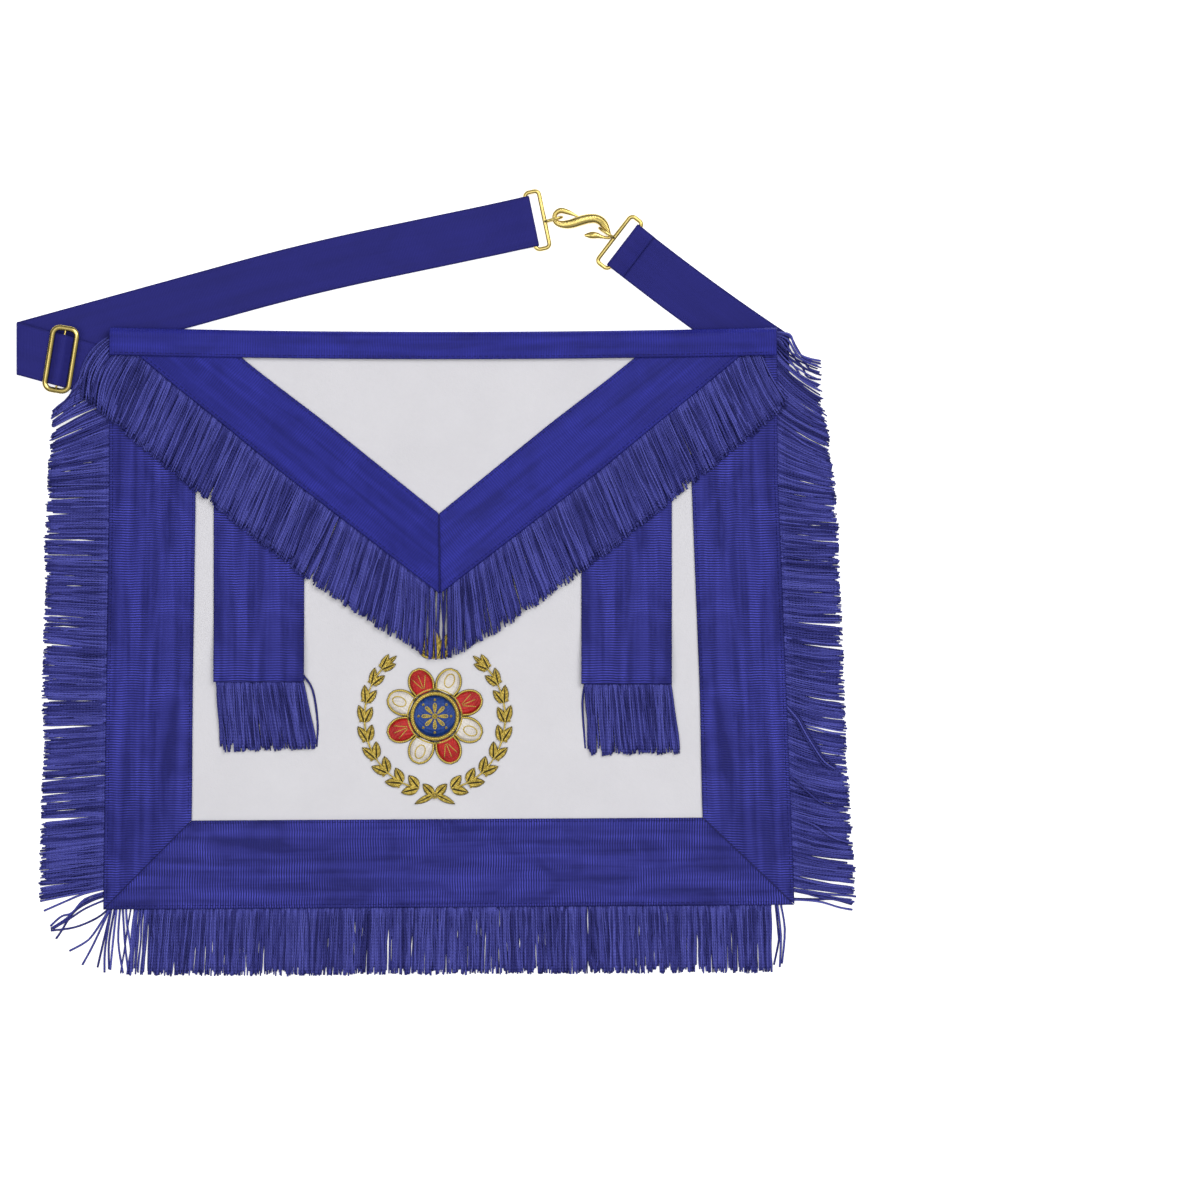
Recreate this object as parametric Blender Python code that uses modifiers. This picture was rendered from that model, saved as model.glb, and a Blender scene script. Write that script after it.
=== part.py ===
"""A dress apron of white leather with ribbon borders, fringes, a belt and a serpent hook.

The apron lies flat on its back, +Z up, with its length along X and its waist towards +Y.
The origin is the bottom centre of its box. Sizes are in millimetres until a mesh is made.
"""

import math
import random
from collections import namedtuple

import bmesh
import bpy
from mathutils import Matrix, Vector

MM = 0.001
Z_AXIS = Vector((0, 0, 1))

# Stock that the apron is cut from
RIBBON_WIDTH = 50.8
FRINGE_LENGTH = 38.1
BELT_WIDTH = 30.0
TAB_WIDTH = 53.3
LEATHER = 1.0
RIBBON = 1.0
WEBBING = 1.0
GAP = 0.3
FRINGE_HEADER = 4.5
FRINGE_THICK = 1.6
FRINGE_THIN = 0.62
FRINGE_SLIT = 0.8

# Outline of the body, where its ribbons end
BODY_TOP = 151.1
BODY_TOP_MIDDLE = 148.7
LEFT_EDGE = [(-191.6, 151.1), (-192.0, 64.1), (-195.8, -191.3)]
RIGHT_EDGE = [(200.6, 151.1), (201.1, 64.1), (211.1, -188.5)]
MITRE_LEFT = ((-195.8, -191.3), (-143.7, -138.9))
MITRE_RIGHT = ((211.1, -188.5), (157.0, -137.2))
BOTTOM_FRINGE_END = 203.8

# Waistband, a ribbon folded over the top edge
BAND_HEIGHT = 16.3
LAYERS_TOP = 147.0

# Flap: its outer edge, and the seam where the two ribbons meet
FLAP_LEFT = [(-189.0, 147.0), (-172.4, 133.3), (-91.1, 66.3), (1.9, -5.2)]
FLAP_RIGHT = [(193.8, 147.0), (177.2, 133.3), (95.9, 66.3), (2.8, -5.2)]
FLAP_HEADER_START = 5.6
FLAP_POINT_BARE = 3.8
FLAP_INNER_LEFT = [(-129.1, 147.0), (1.6, 42.0)]
FLAP_INNER_RIGHT = [(131.9, 147.0), (2.2, 42.0)]

# Tabs: the left edge and the hem of each
TABS = {"left": (-130.8, -57.4), "right": (85.6, -58.6)}
TAB_RISE_START = -15.0
TAB_RISE_RUN = 30.0

# Levels of the undersides above the leather's own underside
RIBBON_LEVEL = LEATHER + GAP
FLAP_LEVEL = RIBBON_LEVEL + RIBBON + GAP
FLAP_RIBBON_LEVEL = FLAP_LEVEL + LEATHER + GAP
BAND_HOLLOW = FLAP_RIBBON_LEVEL + RIBBON + GAP
LAYER_STEP = RIBBON + GAP

# What lifts the cloth: the belt's ends under the top corners, and the waistband's back leg
Corner = namedtuple("Corner", "left right bottom height")
BELT_UNDER_LEFT = Corner(-230.0, -150.0, 104.0, 2.6)
BELT_UNDER_RIGHT = Corner(148.0, 215.0, 108.0, 1.3)
CORNER_RUN = 70.0
BAND_RISE_START = 30.0
BAND_RISE_RUN = 70.0
FINE_STEP = 11.5
COARSE_STEP = 45.0
RAISED_X = 82.0
RAISED_Y = 32.0

# Belt: it runs left from the corner to the crease, folds under, and climbs right to the hook
BELT_SLOPE = math.radians(15.4)
CREASE = Vector((-244.4, 138.4))
CREASE_RADIUS = 1.3
CREASE_AXIS_Z = 2.45
BELT_LAYER = 0.65
BELT_BEND_START = 140.0
BELT_BEND_END = 220.0
BELT_LENGTH = 313.3
BELT_END_SLOPE = math.radians(11.8)
BELT_CORNER_END = -58.5
SLIDER_AT = -24.8
SLIDER_OFFSET = 0.6
SLIDER_Z = 6.2

# Brass
LOOP_LENGTH = 36.3
LOOP_SPAN = 8.4
LOOP_WIRE = 2.2
LOOP_CORNER = 2.6
HOOK_Z = 3.5
EYE_WIRE = 1.5
EYE_LENGTH = 10.4
EYE_HEIGHT = 5.4
Eye = namedtuple("Eye", "angle shift")
LEFT_EYE = Eye(math.radians(15.0), -1.8)
RIGHT_EYE = Eye(math.radians(146.0), 0.0)
SERPENT_FLATNESS = 0.72
SLIDER_SIZE = (40.0, 17.4)
SLIDER_WIRE = 3.2
SLIDER_FLATNESS = 0.625
SLIDER_TILT = math.radians(9.1)
SLIDER_CORNER = 4.2
CENTRE_BAR = 1.4

# Short belt end at the right, from its loop to the corner
SHORT_START = Vector((111.5, 198.7))
SHORT_SLOPE = math.radians(-37.5)
SHORT_END_SLOPE = math.radians(-33.0)
SHORT_STRAIGHT = 25.0
SHORT_LENGTH = 119.0
SHORT_TURNOVER = 10.0

# Raised emblem on the body
EMBLEM = Vector((-0.6, -77.5))
EMBLEM_BASE = LEATHER + GAP
DISC_RADIUS = 12.2
RING_WIRE = 2.4
PETAL_INNER = 15.6
PETAL_OUTER = 29.5
WREATH_RADIUS = 39.0
WREATH_LEAF = 5.4

MATERIALS = {
    "leather": ((0.78, 0.78, 0.80), 0.55, 0.0),
    "ribbon": ((0.028, 0.030, 0.29), 0.45, 0.0),
    "fringe": ((0.045, 0.043, 0.36), 0.6, 0.0),
    "webbing": ((0.024, 0.020, 0.20), 0.7, 0.0),
    "brass": ((0.83, 0.62, 0.21), 0.22, 1.0),
    "bullion": ((0.62, 0.44, 0.12), 0.4, 0.8),
    "blue_thread": ((0.03, 0.06, 0.25), 0.6, 0.0),
    "red_thread": ((0.55, 0.02, 0.02), 0.6, 0.0),
}

Hang = namedtuple("Hang", "along heading share")

# How the strands lie: distance along the header, heading in degrees from +X, share of the length
HANG_LEFT = [
    Hang(0, 241, 0.97),
    Hang(9, 237, 1.06),
    Hang(27, 210, 0.98),
    Hang(41, 204, 0.99),
    Hang(59, 197, 1.00),
    Hang(86, 192, 1.01),
    Hang(318, 190, 1.01),
    Hang(336, 193, 0.97),
]
HANG_BOTTOM = [
    Hang(0, 226, 0.80),
    Hang(6, 246, 0.89),
    Hang(18, 264, 0.99),
    Hang(100, 268, 1.01),
    Hang(400, 273, 1.01),
]
HANG_RIGHT = [
    Hang(0, 341, 0.95),
    Hang(26, 346, 1.00),
    Hang(107, 334, 1.02),
    Hang(248, 329, 1.01),
    Hang(290, 321, 1.02),
    Hang(316, 312, 0.99),
    Hang(332, 309, 0.84),
]
HANG_FLAP_LEFT = [
    Hang(0, 240, 1.06),
    Hang(16, 246, 1.08),
    Hang(166, 247, 1.08),
    Hang(206, 258, 1.09),
    Hang(235, 272, 1.10),
]
HANG_FLAP_RIGHT = [
    Hang(0, 268, 1.10),
    Hang(32, 282, 1.09),
    Hang(72, 293, 1.08),
    Hang(219, 294, 1.08),
    Hang(235, 296, 1.06),
]
HANG_TABS = {
    "left": [Hang(0, 273, 1.05), Hang(TAB_WIDTH, 279, 1.02)],
    "right": [Hang(0, 274, 1.07), Hang(TAB_WIDTH, 277, 1.04)],
}


def clear_scene():
    for old in list(bpy.data.objects):
        bpy.data.objects.remove(old)


def make_collection(name):
    group = bpy.data.collections.new(name)
    bpy.context.scene.collection.children.link(group)
    return group


def make_material(name):
    colour, roughness, metallic = MATERIALS[name]
    material = bpy.data.materials.new(name)
    material.use_nodes = True
    shader = material.node_tree.nodes["Principled BSDF"]
    shader.inputs["Base Color"].default_value = (*colour, 1)
    shader.inputs["Roughness"].default_value = roughness
    shader.inputs["Metallic"].default_value = metallic
    return material


def finish_object(name, bm, group, material):
    """Turn millimetres into metres and link the mesh as one named piece."""
    bmesh.ops.scale(bm, vec=Vector((MM, MM, MM)), verts=bm.verts)
    mesh = bpy.data.meshes.new(name)
    bm.to_mesh(mesh)
    bm.free()
    piece = bpy.data.objects.new(name, mesh)
    group.objects.link(piece)
    if material:
        mesh.materials.append(material)
    return piece


# Small helpers for lines and curves in the plan


def smooth_step(t):
    t = min(max(t, 0.0), 1.0)
    return t * t * (3 - 2 * t)


def between(table, value):
    """Read a table of (value, result...) rows at a value, straight between its rows."""
    if value <= table[0][0]:
        return table[0][1:]
    for low, high in zip(table, table[1:]):
        if value <= high[0]:
            t = (value - low[0]) / (high[0] - low[0])
            return tuple(a + (b - a) * t for a, b in zip(low[1:], high[1:]))
    return table[-1][1:]


def path_length(path):
    return sum(math.dist(a, b) for a, b in zip(path, path[1:]))


def point_on_path(path, along):
    """Give the point at a distance along a path, and the path's direction there."""
    for a, b in zip(path, path[1:]):
        span = math.dist(a, b)
        if along <= span or b is path[-1]:
            direction = (Vector(b) - Vector(a)) / span
            return Vector(a) + direction * along, direction
        along -= span
    return Vector(path[-1]), Vector((1, 0))


def edge_x(edge, y):
    """Read the x of an edge that runs from top to bottom at a height y."""
    return between([(-py, px) for px, py in edge], -y)[0]


def stations(start, end, raised_beyond):
    """Space crosswise lines closely where the cloth is raised, and widely where it is flat."""
    places = [start]
    while places[-1] < end:
        here = places[-1]
        flat = abs(here) < raised_beyond
        step = COARSE_STEP if flat else FINE_STEP
        if here < -raised_beyond < here + step:
            step = -raised_beyond - here
        if flat and here < raised_beyond < here + step:
            step = raised_beyond - here
        places.append(here + max(step, 1.0))
    places[-1] = end
    if places[-1] - places[-2] < 0.3 * FINE_STEP and len(places) > 2:
        places.pop(-2)
    return places


def shares(places):
    return [(p - places[0]) / (places[-1] - places[0]) for p in places]


# How the cloth lies


def belt_lift(x, y):
    """Height that the belt's ends give the waistband and the leather at the top corners."""
    lift = 0.0
    for corner in (BELT_UNDER_LEFT, BELT_UNDER_RIGHT):
        dx = max(corner.left - x, 0.0, x - corner.right)
        dy = max(corner.bottom - y, 0.0)
        lift += corner.height * smooth_step(1 - math.hypot(dx, dy) / CORNER_RUN)
    return lift


def drape(x, y):
    """Height of the leather's underside over the belt and the waistband's back leg."""
    band = LAYER_STEP * smooth_step((y - BAND_RISE_START) / BAND_RISE_RUN)
    return belt_lift(x, y) + band


def sag(x, y):
    """The waist edge hangs a little towards its middle."""
    half = (RIGHT_EDGE[0][0] - LEFT_EDGE[0][0]) / 2
    middle = (RIGHT_EDGE[0][0] + LEFT_EDGE[0][0]) / 2
    across = max(1 - ((x - middle) / half) ** 2, 0.0)
    return (BODY_TOP_MIDDLE - BODY_TOP) * across * smooth_step((y - 90) / 45)


def thicken(piece, thickness, offset=1.0, thin_share=None):
    """Give an open surface its thickness, less where the vertex group is light."""
    shell = piece.modifiers.new("thickness", "SOLIDIFY")
    shell.thickness = thickness * MM
    shell.offset = offset
    shell.use_even_offset = True
    if thin_share is not None:
        shell.vertex_group = "full"
        shell.thickness_vertex_group = thin_share


def face_up(bm):
    bm.normal_update()
    if sum(face.normal.z * face.calc_area() for face in bm.faces) < 0:
        bmesh.ops.reverse_faces(bm, faces=bm.faces)


def cloth_grid(columns, rows):
    """Make a unit grid, and give each vertex with its column and row."""
    bm = bmesh.new()
    bmesh.ops.create_grid(bm, x_segments=columns, y_segments=rows, size=0.5)
    places = {}
    for vert in bm.verts:
        column = round((vert.co.x + 0.5) * columns)
        row = round((vert.co.y + 0.5) * rows)
        places[vert] = (column, row)
    return bm, places


def lay_cloth(name, rows, across, level, thickness, group, material, rise=None):
    """Lay a panel over what is under it. Each row holds the two ends of a crosswise line."""
    bm, places = cloth_grid(len(across) - 1, len(rows) - 1)
    for vert, (column, row) in places.items():
        start, end = Vector(rows[row][0]), Vector(rows[row][1])
        x, y = start.lerp(end, across[column])
        height = drape(x, y) + level + (rise(y) if rise else 0.0)
        vert.co = Vector((x, y + sag(x, y), height))
    face_up(bm)
    piece = finish_object(name, bm, group, material)
    thicken(piece, thickness)
    return piece


def strand_at(hang, along):
    """Give the way from a strand's root to its tip at a distance along the header."""
    heading, share = between(hang, along)
    reach = FRINGE_LENGTH * share
    angle = math.radians(heading)
    return Vector((reach * math.cos(angle), reach * math.sin(angle)))


def lay_fringe(name, path, hang, locks, level, group, material, droop=None, seed=1):
    """Lay a fringe: a header strip along the path, and tapered locks on its right-hand side."""
    draw = random.Random(seed)
    length = path_length(path)
    pitch = length / locks
    slit = FRINGE_SLIT / 2
    ends = []
    for lock in range(locks):
        ends.append(lock * pitch + slit * (lock > 0))
        ends.append((lock + 1) * pitch - slit * (lock < locks - 1))
    bm, places = cloth_grid(len(ends) - 1, 1)
    weights = {}
    edge_of = {}
    for vert, (column, row) in places.items():
        point, direction = point_on_path(path, ends[column])
        outward = Vector((direction.y, -direction.x))
        if row == 1:
            point -= outward * FRINGE_HEADER
        else:
            edge_of[column] = vert
        x, y = point
        vert.co = Vector((x, y + sag(x, y), drape(x, y) + level))
        weights[vert] = 0.0
    for lock in range(locks):
        roots = [edge_of[2 * lock], edge_of[2 * lock + 1]]
        reach = 1.0 + draw.uniform(-0.07, 0.03)
        for share, narrowing, weight in ((0.42, 0.03, 1.0), (1.0, 0.1, 0.0)):
            edge = bm.edges.get(roots)
            out = bmesh.ops.extrude_edge_only(bm, edges=[edge])["geom"]
            fresh = [item for item in out if isinstance(item, bmesh.types.BMVert)]
            fresh.sort(key=lambda item: (item.co - roots[0].co).length)
            middle = (ends[2 * lock] + ends[2 * lock + 1]) / 2
            for vert, at in zip(fresh, (ends[2 * lock], ends[2 * lock + 1])):
                root, _ = point_on_path(path, at)
                inner, _ = point_on_path(path, middle)
                tip = root + strand_at(hang, at) * share * reach
                core = inner + strand_at(hang, middle) * share * reach
                x, y = tip.lerp(core, narrowing)
                kept = 1.0 - share * (droop(root) if droop else 0.0)
                vert.co = Vector((x, y + sag(*root), drape(x, y) * kept + level))
                weights[vert] = weight
            roots = fresh
    face_up(bm)
    bm.verts.index_update()
    full = [vert.index for vert, weight in weights.items() if weight > 0]
    piece = finish_object(name, bm, group, material)
    piece.vertex_groups.new(name="full").add(full, 1.0, "REPLACE")
    thicken(piece, FRINGE_THICK, thin_share=FRINGE_THIN)
    return piece


# Body, ribbons, flap and tabs


def body_rows(left, right, top, bottom_left, bottom_right):
    """Rows from the top down to the slanting hem, between two edges."""
    heights = [y for y in reversed(stations(RAISED_Y, top, 0.0))]
    rows = [((left(y), y), (right(y), y)) for y in heights]
    rows.append((bottom_left, bottom_right))
    return rows


def make_body(group, leather, ribbon):
    inset = FRINGE_HEADER + GAP
    (left_x, left_y), _ = MITRE_LEFT
    (right_x, right_y), _ = MITRE_RIGHT
    rows = body_rows(
        lambda y: edge_x(LEFT_EDGE, y) + inset,
        lambda y: edge_x(RIGHT_EDGE, y) - inset,
        LAYERS_TOP,
        (left_x + inset, left_y + inset),
        (right_x - inset, right_y + inset),
    )
    across = shares(stations(left_x, right_x, RAISED_X))
    lay_cloth("body_panel", rows, across, 0.0, LEATHER, group, leather)

    strip = [i / 5 for i in range(6)]
    half_gap = Vector((0, GAP * 0.8))
    outer, inner = (Vector(p) + half_gap for p in MITRE_LEFT)
    rows = body_rows(
        lambda y: edge_x(LEFT_EDGE, y),
        lambda y: edge_x(LEFT_EDGE, y) + RIBBON_WIDTH,
        LAYERS_TOP,
        outer,
        inner,
    )
    lay_cloth("ribbon_left", rows, strip, RIBBON_LEVEL, RIBBON, group, ribbon)
    outer, inner = (Vector(p) + half_gap for p in MITRE_RIGHT)
    rows = body_rows(
        lambda y: edge_x(RIGHT_EDGE, y) - RIBBON_WIDTH,
        lambda y: edge_x(RIGHT_EDGE, y),
        LAYERS_TOP,
        inner,
        outer,
    )
    lay_cloth("ribbon_right", rows, strip, RIBBON_LEVEL, RIBBON, group, ribbon)
    rows = [(MITRE_LEFT[1], MITRE_RIGHT[1]), (MITRE_LEFT[0], MITRE_RIGHT[0])]
    lay_cloth("ribbon_bottom", rows, [0, 1], RIBBON_LEVEL, RIBBON, group, ribbon)


def make_outer_fringes(group, fringe):
    def tips_fall(root):
        return 0.0 if root.y > 100 else 0.9

    top = LAYERS_TOP
    corner = MITRE_LEFT[0][1] + FRINGE_HEADER + GAP
    path = [(edge_x(LEFT_EDGE, y), y) for y in (top, LEFT_EDGE[1][1], corner)]
    lay_fringe("fringe_left", path, HANG_LEFT, 26, 0.0, group, fringe, tips_fall, seed=3)
    corner = MITRE_RIGHT[0][1] + FRINGE_HEADER + GAP
    path = [(edge_x(RIGHT_EDGE, y), y) for y in (corner, RIGHT_EDGE[1][1], top)]
    lay_fringe("fringe_right", path, HANG_RIGHT, 26, 0.0, group, fringe, tips_fall, seed=5)
    (x0, y0), (x1, y1) = MITRE_LEFT[0], MITRE_RIGHT[0]
    end_y = y0 + (y1 - y0) * (BOTTOM_FRINGE_END - x0) / (x1 - x0)
    path = [(x0, y0), (BOTTOM_FRINGE_END, end_y)]
    lay_fringe("fringe_bottom", path, HANG_BOTTOM, 31, 0.0, group, fringe, seed=7)


def make_flap(group, leather, ribbon, fringe):
    inset = FRINGE_HEADER + GAP

    def inner_edge(path):
        """The leather stops short of the ribbon's edge, where the fringe is sewn in."""
        side = 1 if path[0][0] < 0 else -1
        slant = inset / math.cos(math.radians(50.5))
        return [(x + side * slant, y) for x, y in path]

    left, right = inner_edge(FLAP_LEFT), inner_edge(FLAP_RIGHT)
    left_line = sorted(((y, x) for x, y in left))
    right_line = sorted(((y, x) for x, y in right))
    point = 3.2
    heights = list(reversed(stations(RAISED_Y, LAYERS_TOP, 0.0))) + [point]
    rows = []
    for y in heights:
        rows.append(((between(left_line, y)[0], y), (between(right_line, y)[0], y)))
    rows[-1] = ((1.0, point), (3.7, point))
    across = shares(stations(left[0][0], right[0][0], RAISED_X))
    lay_cloth("flap_panel", rows, across, FLAP_LEVEL, LEATHER, group, leather)

    for side, outer, inner in (
        ("left", FLAP_LEFT, FLAP_INNER_LEFT),
        ("right", FLAP_RIGHT, FLAP_INNER_RIGHT),
    ):
        rows = []
        for step in range(19):
            along = step / 18
            edge, _ = point_on_path(outer, along * path_length(outer))
            seam, _ = point_on_path(inner, along * path_length(inner))
            rows.append((edge, seam))
        strip = [i / 4 for i in range(5)]
        name = "flap_ribbon_" + side
        lay_cloth(name, rows, strip, FLAP_RIBBON_LEVEL, RIBBON, group, ribbon)

    def header_line(edge):
        """The header starts inside the waistband, and stops short of the other one's corner."""
        first, _ = point_on_path(edge, FLAP_HEADER_START)
        last, _ = point_on_path(edge, path_length(edge) - FLAP_POINT_BARE)
        return [tuple(first)] + edge[1:-1] + [tuple(last)]

    path = header_line(FLAP_LEFT)
    lay_fringe("flap_fringe_left", path, HANG_FLAP_LEFT, 20, FLAP_LEVEL, group, fringe, seed=11)
    path = list(reversed(header_line(FLAP_RIGHT)))
    lay_fringe("flap_fringe_right", path, HANG_FLAP_RIGHT, 20, FLAP_LEVEL, group, fringe, seed=13)


def tab_rise(y):
    """The tab climbs over its own fringe's header just above the hem."""
    return LAYER_STEP * smooth_step((TAB_RISE_START - y) / TAB_RISE_RUN)


def make_tabs(group, ribbon, fringe):
    for side, (left, hem) in TABS.items():
        heights = list(reversed(stations(RAISED_Y, LAYERS_TOP, 0.0)))
        heights += [TAB_RISE_START, -25.0, -35.0, -46.0, hem]
        rows = [((left, y), (left + TAB_WIDTH, y)) for y in heights]
        strip = [i / 5 for i in range(6)]
        lay_cloth("tab_" + side, rows, strip, RIBBON_LEVEL, RIBBON, group, ribbon, tab_rise)
        path = [(left, hem), (left + TAB_WIDTH, hem)]
        hang = HANG_TABS[side]
        name = "tab_fringe_" + side
        lay_fringe(name, path, hang, 5, RIBBON_LEVEL, group, fringe, seed=17)


def make_waistband(group, ribbon):
    """Fold a ribbon over the top edge: back leg, round turn and front leg."""
    height = BAND_HOLLOW + LAYER_STEP + RIBBON
    radius = height / 2
    turn_y = BODY_TOP - radius
    profile = [(BODY_TOP - BAND_HEIGHT, 0.0)]
    for step in range(7):
        angle = math.pi * (step / 6 - 0.5)
        profile.append((turn_y + radius * math.cos(angle), radius + radius * math.sin(angle)))
    profile.append((BODY_TOP - BAND_HEIGHT, height))
    places = stations(LEFT_EDGE[0][0], RIGHT_EDGE[0][0], RAISED_X)
    bm, spots = cloth_grid(len(places) - 1, len(profile) - 1)
    for vert, (column, row) in spots.items():
        x = places[column]
        y, z = profile[row]
        vert.co = Vector((x, y + sag(x, y), z + belt_lift(x, y)))
    bm.normal_update()
    bm.faces.ensure_lookup_table()
    topmost = max(bm.faces, key=lambda face: face.calc_center_median().z)
    if topmost.normal.z < 0:
        bmesh.ops.reverse_faces(bm, faces=bm.faces)
    piece = finish_object("waistband", bm, group, ribbon)
    thicken(piece, RIBBON, offset=-1.0)


# Belt


def belt_plan(s, w):
    """Plan of the belt past its crease: straight, then on a wide arc, then straight again."""
    start = CREASE + Vector((-math.pi * CREASE_RADIUS, 0))
    straight = min(s, BELT_BEND_START)
    x = start.x + straight * math.cos(BELT_SLOPE)
    y = start.y + straight * math.sin(BELT_SLOPE)
    slope = BELT_SLOPE
    if s > BELT_BEND_START:
        bend = (BELT_SLOPE - BELT_END_SLOPE) / (BELT_BEND_END - BELT_BEND_START)
        slope = BELT_SLOPE - bend * (min(s, BELT_BEND_END) - BELT_BEND_START)
        x += (math.sin(BELT_SLOPE) - math.sin(slope)) / bend
        y += (math.cos(slope) - math.cos(BELT_SLOPE)) / bend
    if s > BELT_BEND_END:
        x += (s - BELT_BEND_END) * math.cos(slope)
        y += (s - BELT_BEND_END) * math.sin(slope)
    return Vector((x - w * math.sin(slope), y + w * math.cos(slope)))


def belt_point(s, w, h):
    """Place a point of the belt that is s past the crease, w off its middle and h off its core."""
    sine, cosine = math.sin(BELT_SLOPE), math.cos(BELT_SLOPE)
    past = s * cosine - w * sine
    y = CREASE.y + s * sine + w * cosine
    core = CREASE_AXIS_Z + CREASE_RADIUS
    if past <= 0:
        return Vector((CREASE.x - past, y, core + h))
    angle = past / CREASE_RADIUS
    if angle < math.pi:
        reach = CREASE_RADIUS + h
        x = CREASE.x - reach * math.sin(angle)
        return Vector((x, y, CREASE_AXIS_Z + reach * math.cos(angle)))
    x, y = belt_plan(s, w)
    climb = smooth_step((s - BELT_LENGTH + 28) / 24)
    low = CREASE_AXIS_Z - CREASE_RADIUS
    return Vector((x, y, low + (HOOK_Z - low) * climb - h))


# How far the crosswise lines lean, to lie along the corner, the slider and the crease
BELT_SKEW = [
    (BELT_CORNER_END, 0.81),
    (-42.0, 0.098),
    (-16.0, 0.098),
    (-6.0, math.tan(BELT_SLOPE)),
    (12.0, math.tan(BELT_SLOPE)),
    (45.0, 0.0),
]


def belt_profile():
    """Side view of the whole belt as (distance, height off the core): outward, then back."""
    turn = CREASE_RADIUS * math.pi / math.cos(BELT_SLOPE)
    crease = [turn * step / 6 for step in range(7)]
    run = [-5.0] + crease + [9.0, 13.0, 45.0, 90.0, 140.0, 160.0, 180.0, 200.0, 220.0, 255.0]
    run += [BELT_LENGTH - back for back in (28.0, 22.0, 16.0, 10.0)]
    over_bar = [
        (BELT_CORNER_END, -0.65),
        (-48.0, -0.65),
        (SLIDER_AT - 9.7, -0.65),
        (SLIDER_AT - 7.2, -0.3),
        (SLIDER_AT - 5.4, 0.75),
        (SLIDER_AT - 2.2, 4.15),
        (SLIDER_AT - 1.2, 5.05),
        (SLIDER_AT, 5.25),
        (SLIDER_AT + 1.2, 5.05),
        (SLIDER_AT + 2.2, 4.15),
        (SLIDER_AT + 5.6, 0.75),
        (SLIDER_AT + 8.3, BELT_LAYER),
        (-12.0, BELT_LAYER),
    ]
    wrap_radius = (LOOP_WIRE + WEBBING) / 2 + GAP
    wrap = []
    for step in range(9):
        angle = math.pi * step / 8
        wrap.append((BELT_LENGTH + wrap_radius * math.sin(angle), wrap_radius * math.cos(angle)))
    out = over_bar + [(s, BELT_LAYER) for s in run]
    out.append((BELT_LENGTH - 4.5, 1.45))
    back = [(BELT_LENGTH - 4.5, -1.45)] + [(s, -BELT_LAYER) for s in reversed(run)]
    back += [
        (-12.0, -BELT_LAYER),
        (SLIDER_AT + 5.6, -BELT_LAYER),
        (SLIDER_AT + 3.0, -0.1),
    ]
    hug = (CENTRE_BAR + WEBBING) / 2 + GAP
    bar_height = SLIDER_Z - CREASE_AXIS_Z - CREASE_RADIUS
    for step in range(8):
        angle = math.radians(-90 - 34 * step)
        back.append((SLIDER_AT + hug * math.cos(angle), bar_height + hug * math.sin(angle)))
    return out + wrap + back


def strap(name, profile, place, group, material, skew=None):
    """Lay webbing along a side profile; place turns (distance, offset, height) into a point."""
    across = (-0.5, 0.0, 0.5)
    bm, spots = cloth_grid(len(profile) - 1, len(across) - 1)
    for vert, (column, row) in spots.items():
        s, h = profile[column]
        w = across[row] * BELT_WIDTH
        lean = between(skew, s)[0] if skew else 0.0
        vert.co = place(s + w * lean, w, h)
    piece = finish_object(name, bm, group, material)
    thicken(piece, WEBBING, offset=0.0)
    return piece


def short_plan(s):
    """Middle of the short belt end, s from its loop's bar, with its slope there."""
    straight = min(s, SHORT_STRAIGHT)
    x = SHORT_START.x + straight * math.cos(SHORT_SLOPE)
    y = SHORT_START.y + straight * math.sin(SHORT_SLOPE)
    slope = SHORT_SLOPE
    if s > SHORT_STRAIGHT:
        bend = (SHORT_END_SLOPE - SHORT_SLOPE) / (SHORT_LENGTH - SHORT_STRAIGHT)
        slope = SHORT_SLOPE + bend * (s - SHORT_STRAIGHT)
        x += (math.sin(slope) - math.sin(SHORT_SLOPE)) / bend
        y -= (math.cos(slope) - math.cos(SHORT_SLOPE)) / bend
    return Vector((x, y)), slope


def short_point(s, w, z):
    middle, slope = short_plan(s)
    x = middle.x - w * math.sin(slope)
    y = middle.y + w * math.cos(slope)
    return Vector((x, y, z))


def short_profile():
    """Side view of the short end: it lies flat, climbs to the loop, and is turned over it."""
    wrap_radius = (LOOP_WIRE + WEBBING) / 2 + GAP
    low = WEBBING / 2
    profile = [(s, low) for s in (SHORT_LENGTH, 95.0, 70.0, 45.0, 25.0)]
    profile += [(14.0, low + 0.3), (SHORT_TURNOVER - 1, low + 0.7), (4.5, HOOK_Z - 1.5)]
    for step in range(9):
        angle = math.pi * step / 8
        s = -wrap_radius * math.sin(angle)
        profile.append((s, HOOK_Z - wrap_radius * math.cos(angle)))
    profile += [(4.5, HOOK_Z + 0.9), (SHORT_TURNOVER - 2, low + 2.9), (SHORT_TURNOVER, low + 2.3)]
    return profile


def make_belts(group, webbing):
    strap("belt_long", belt_profile(), belt_point, group, webbing, BELT_SKEW)
    lean = math.tan(SHORT_END_SLOPE)
    skew = [(60.0, 0.0), (SHORT_LENGTH, lean)]
    strap("belt_short", short_profile(), short_point, group, webbing, skew)


# Brass


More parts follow.
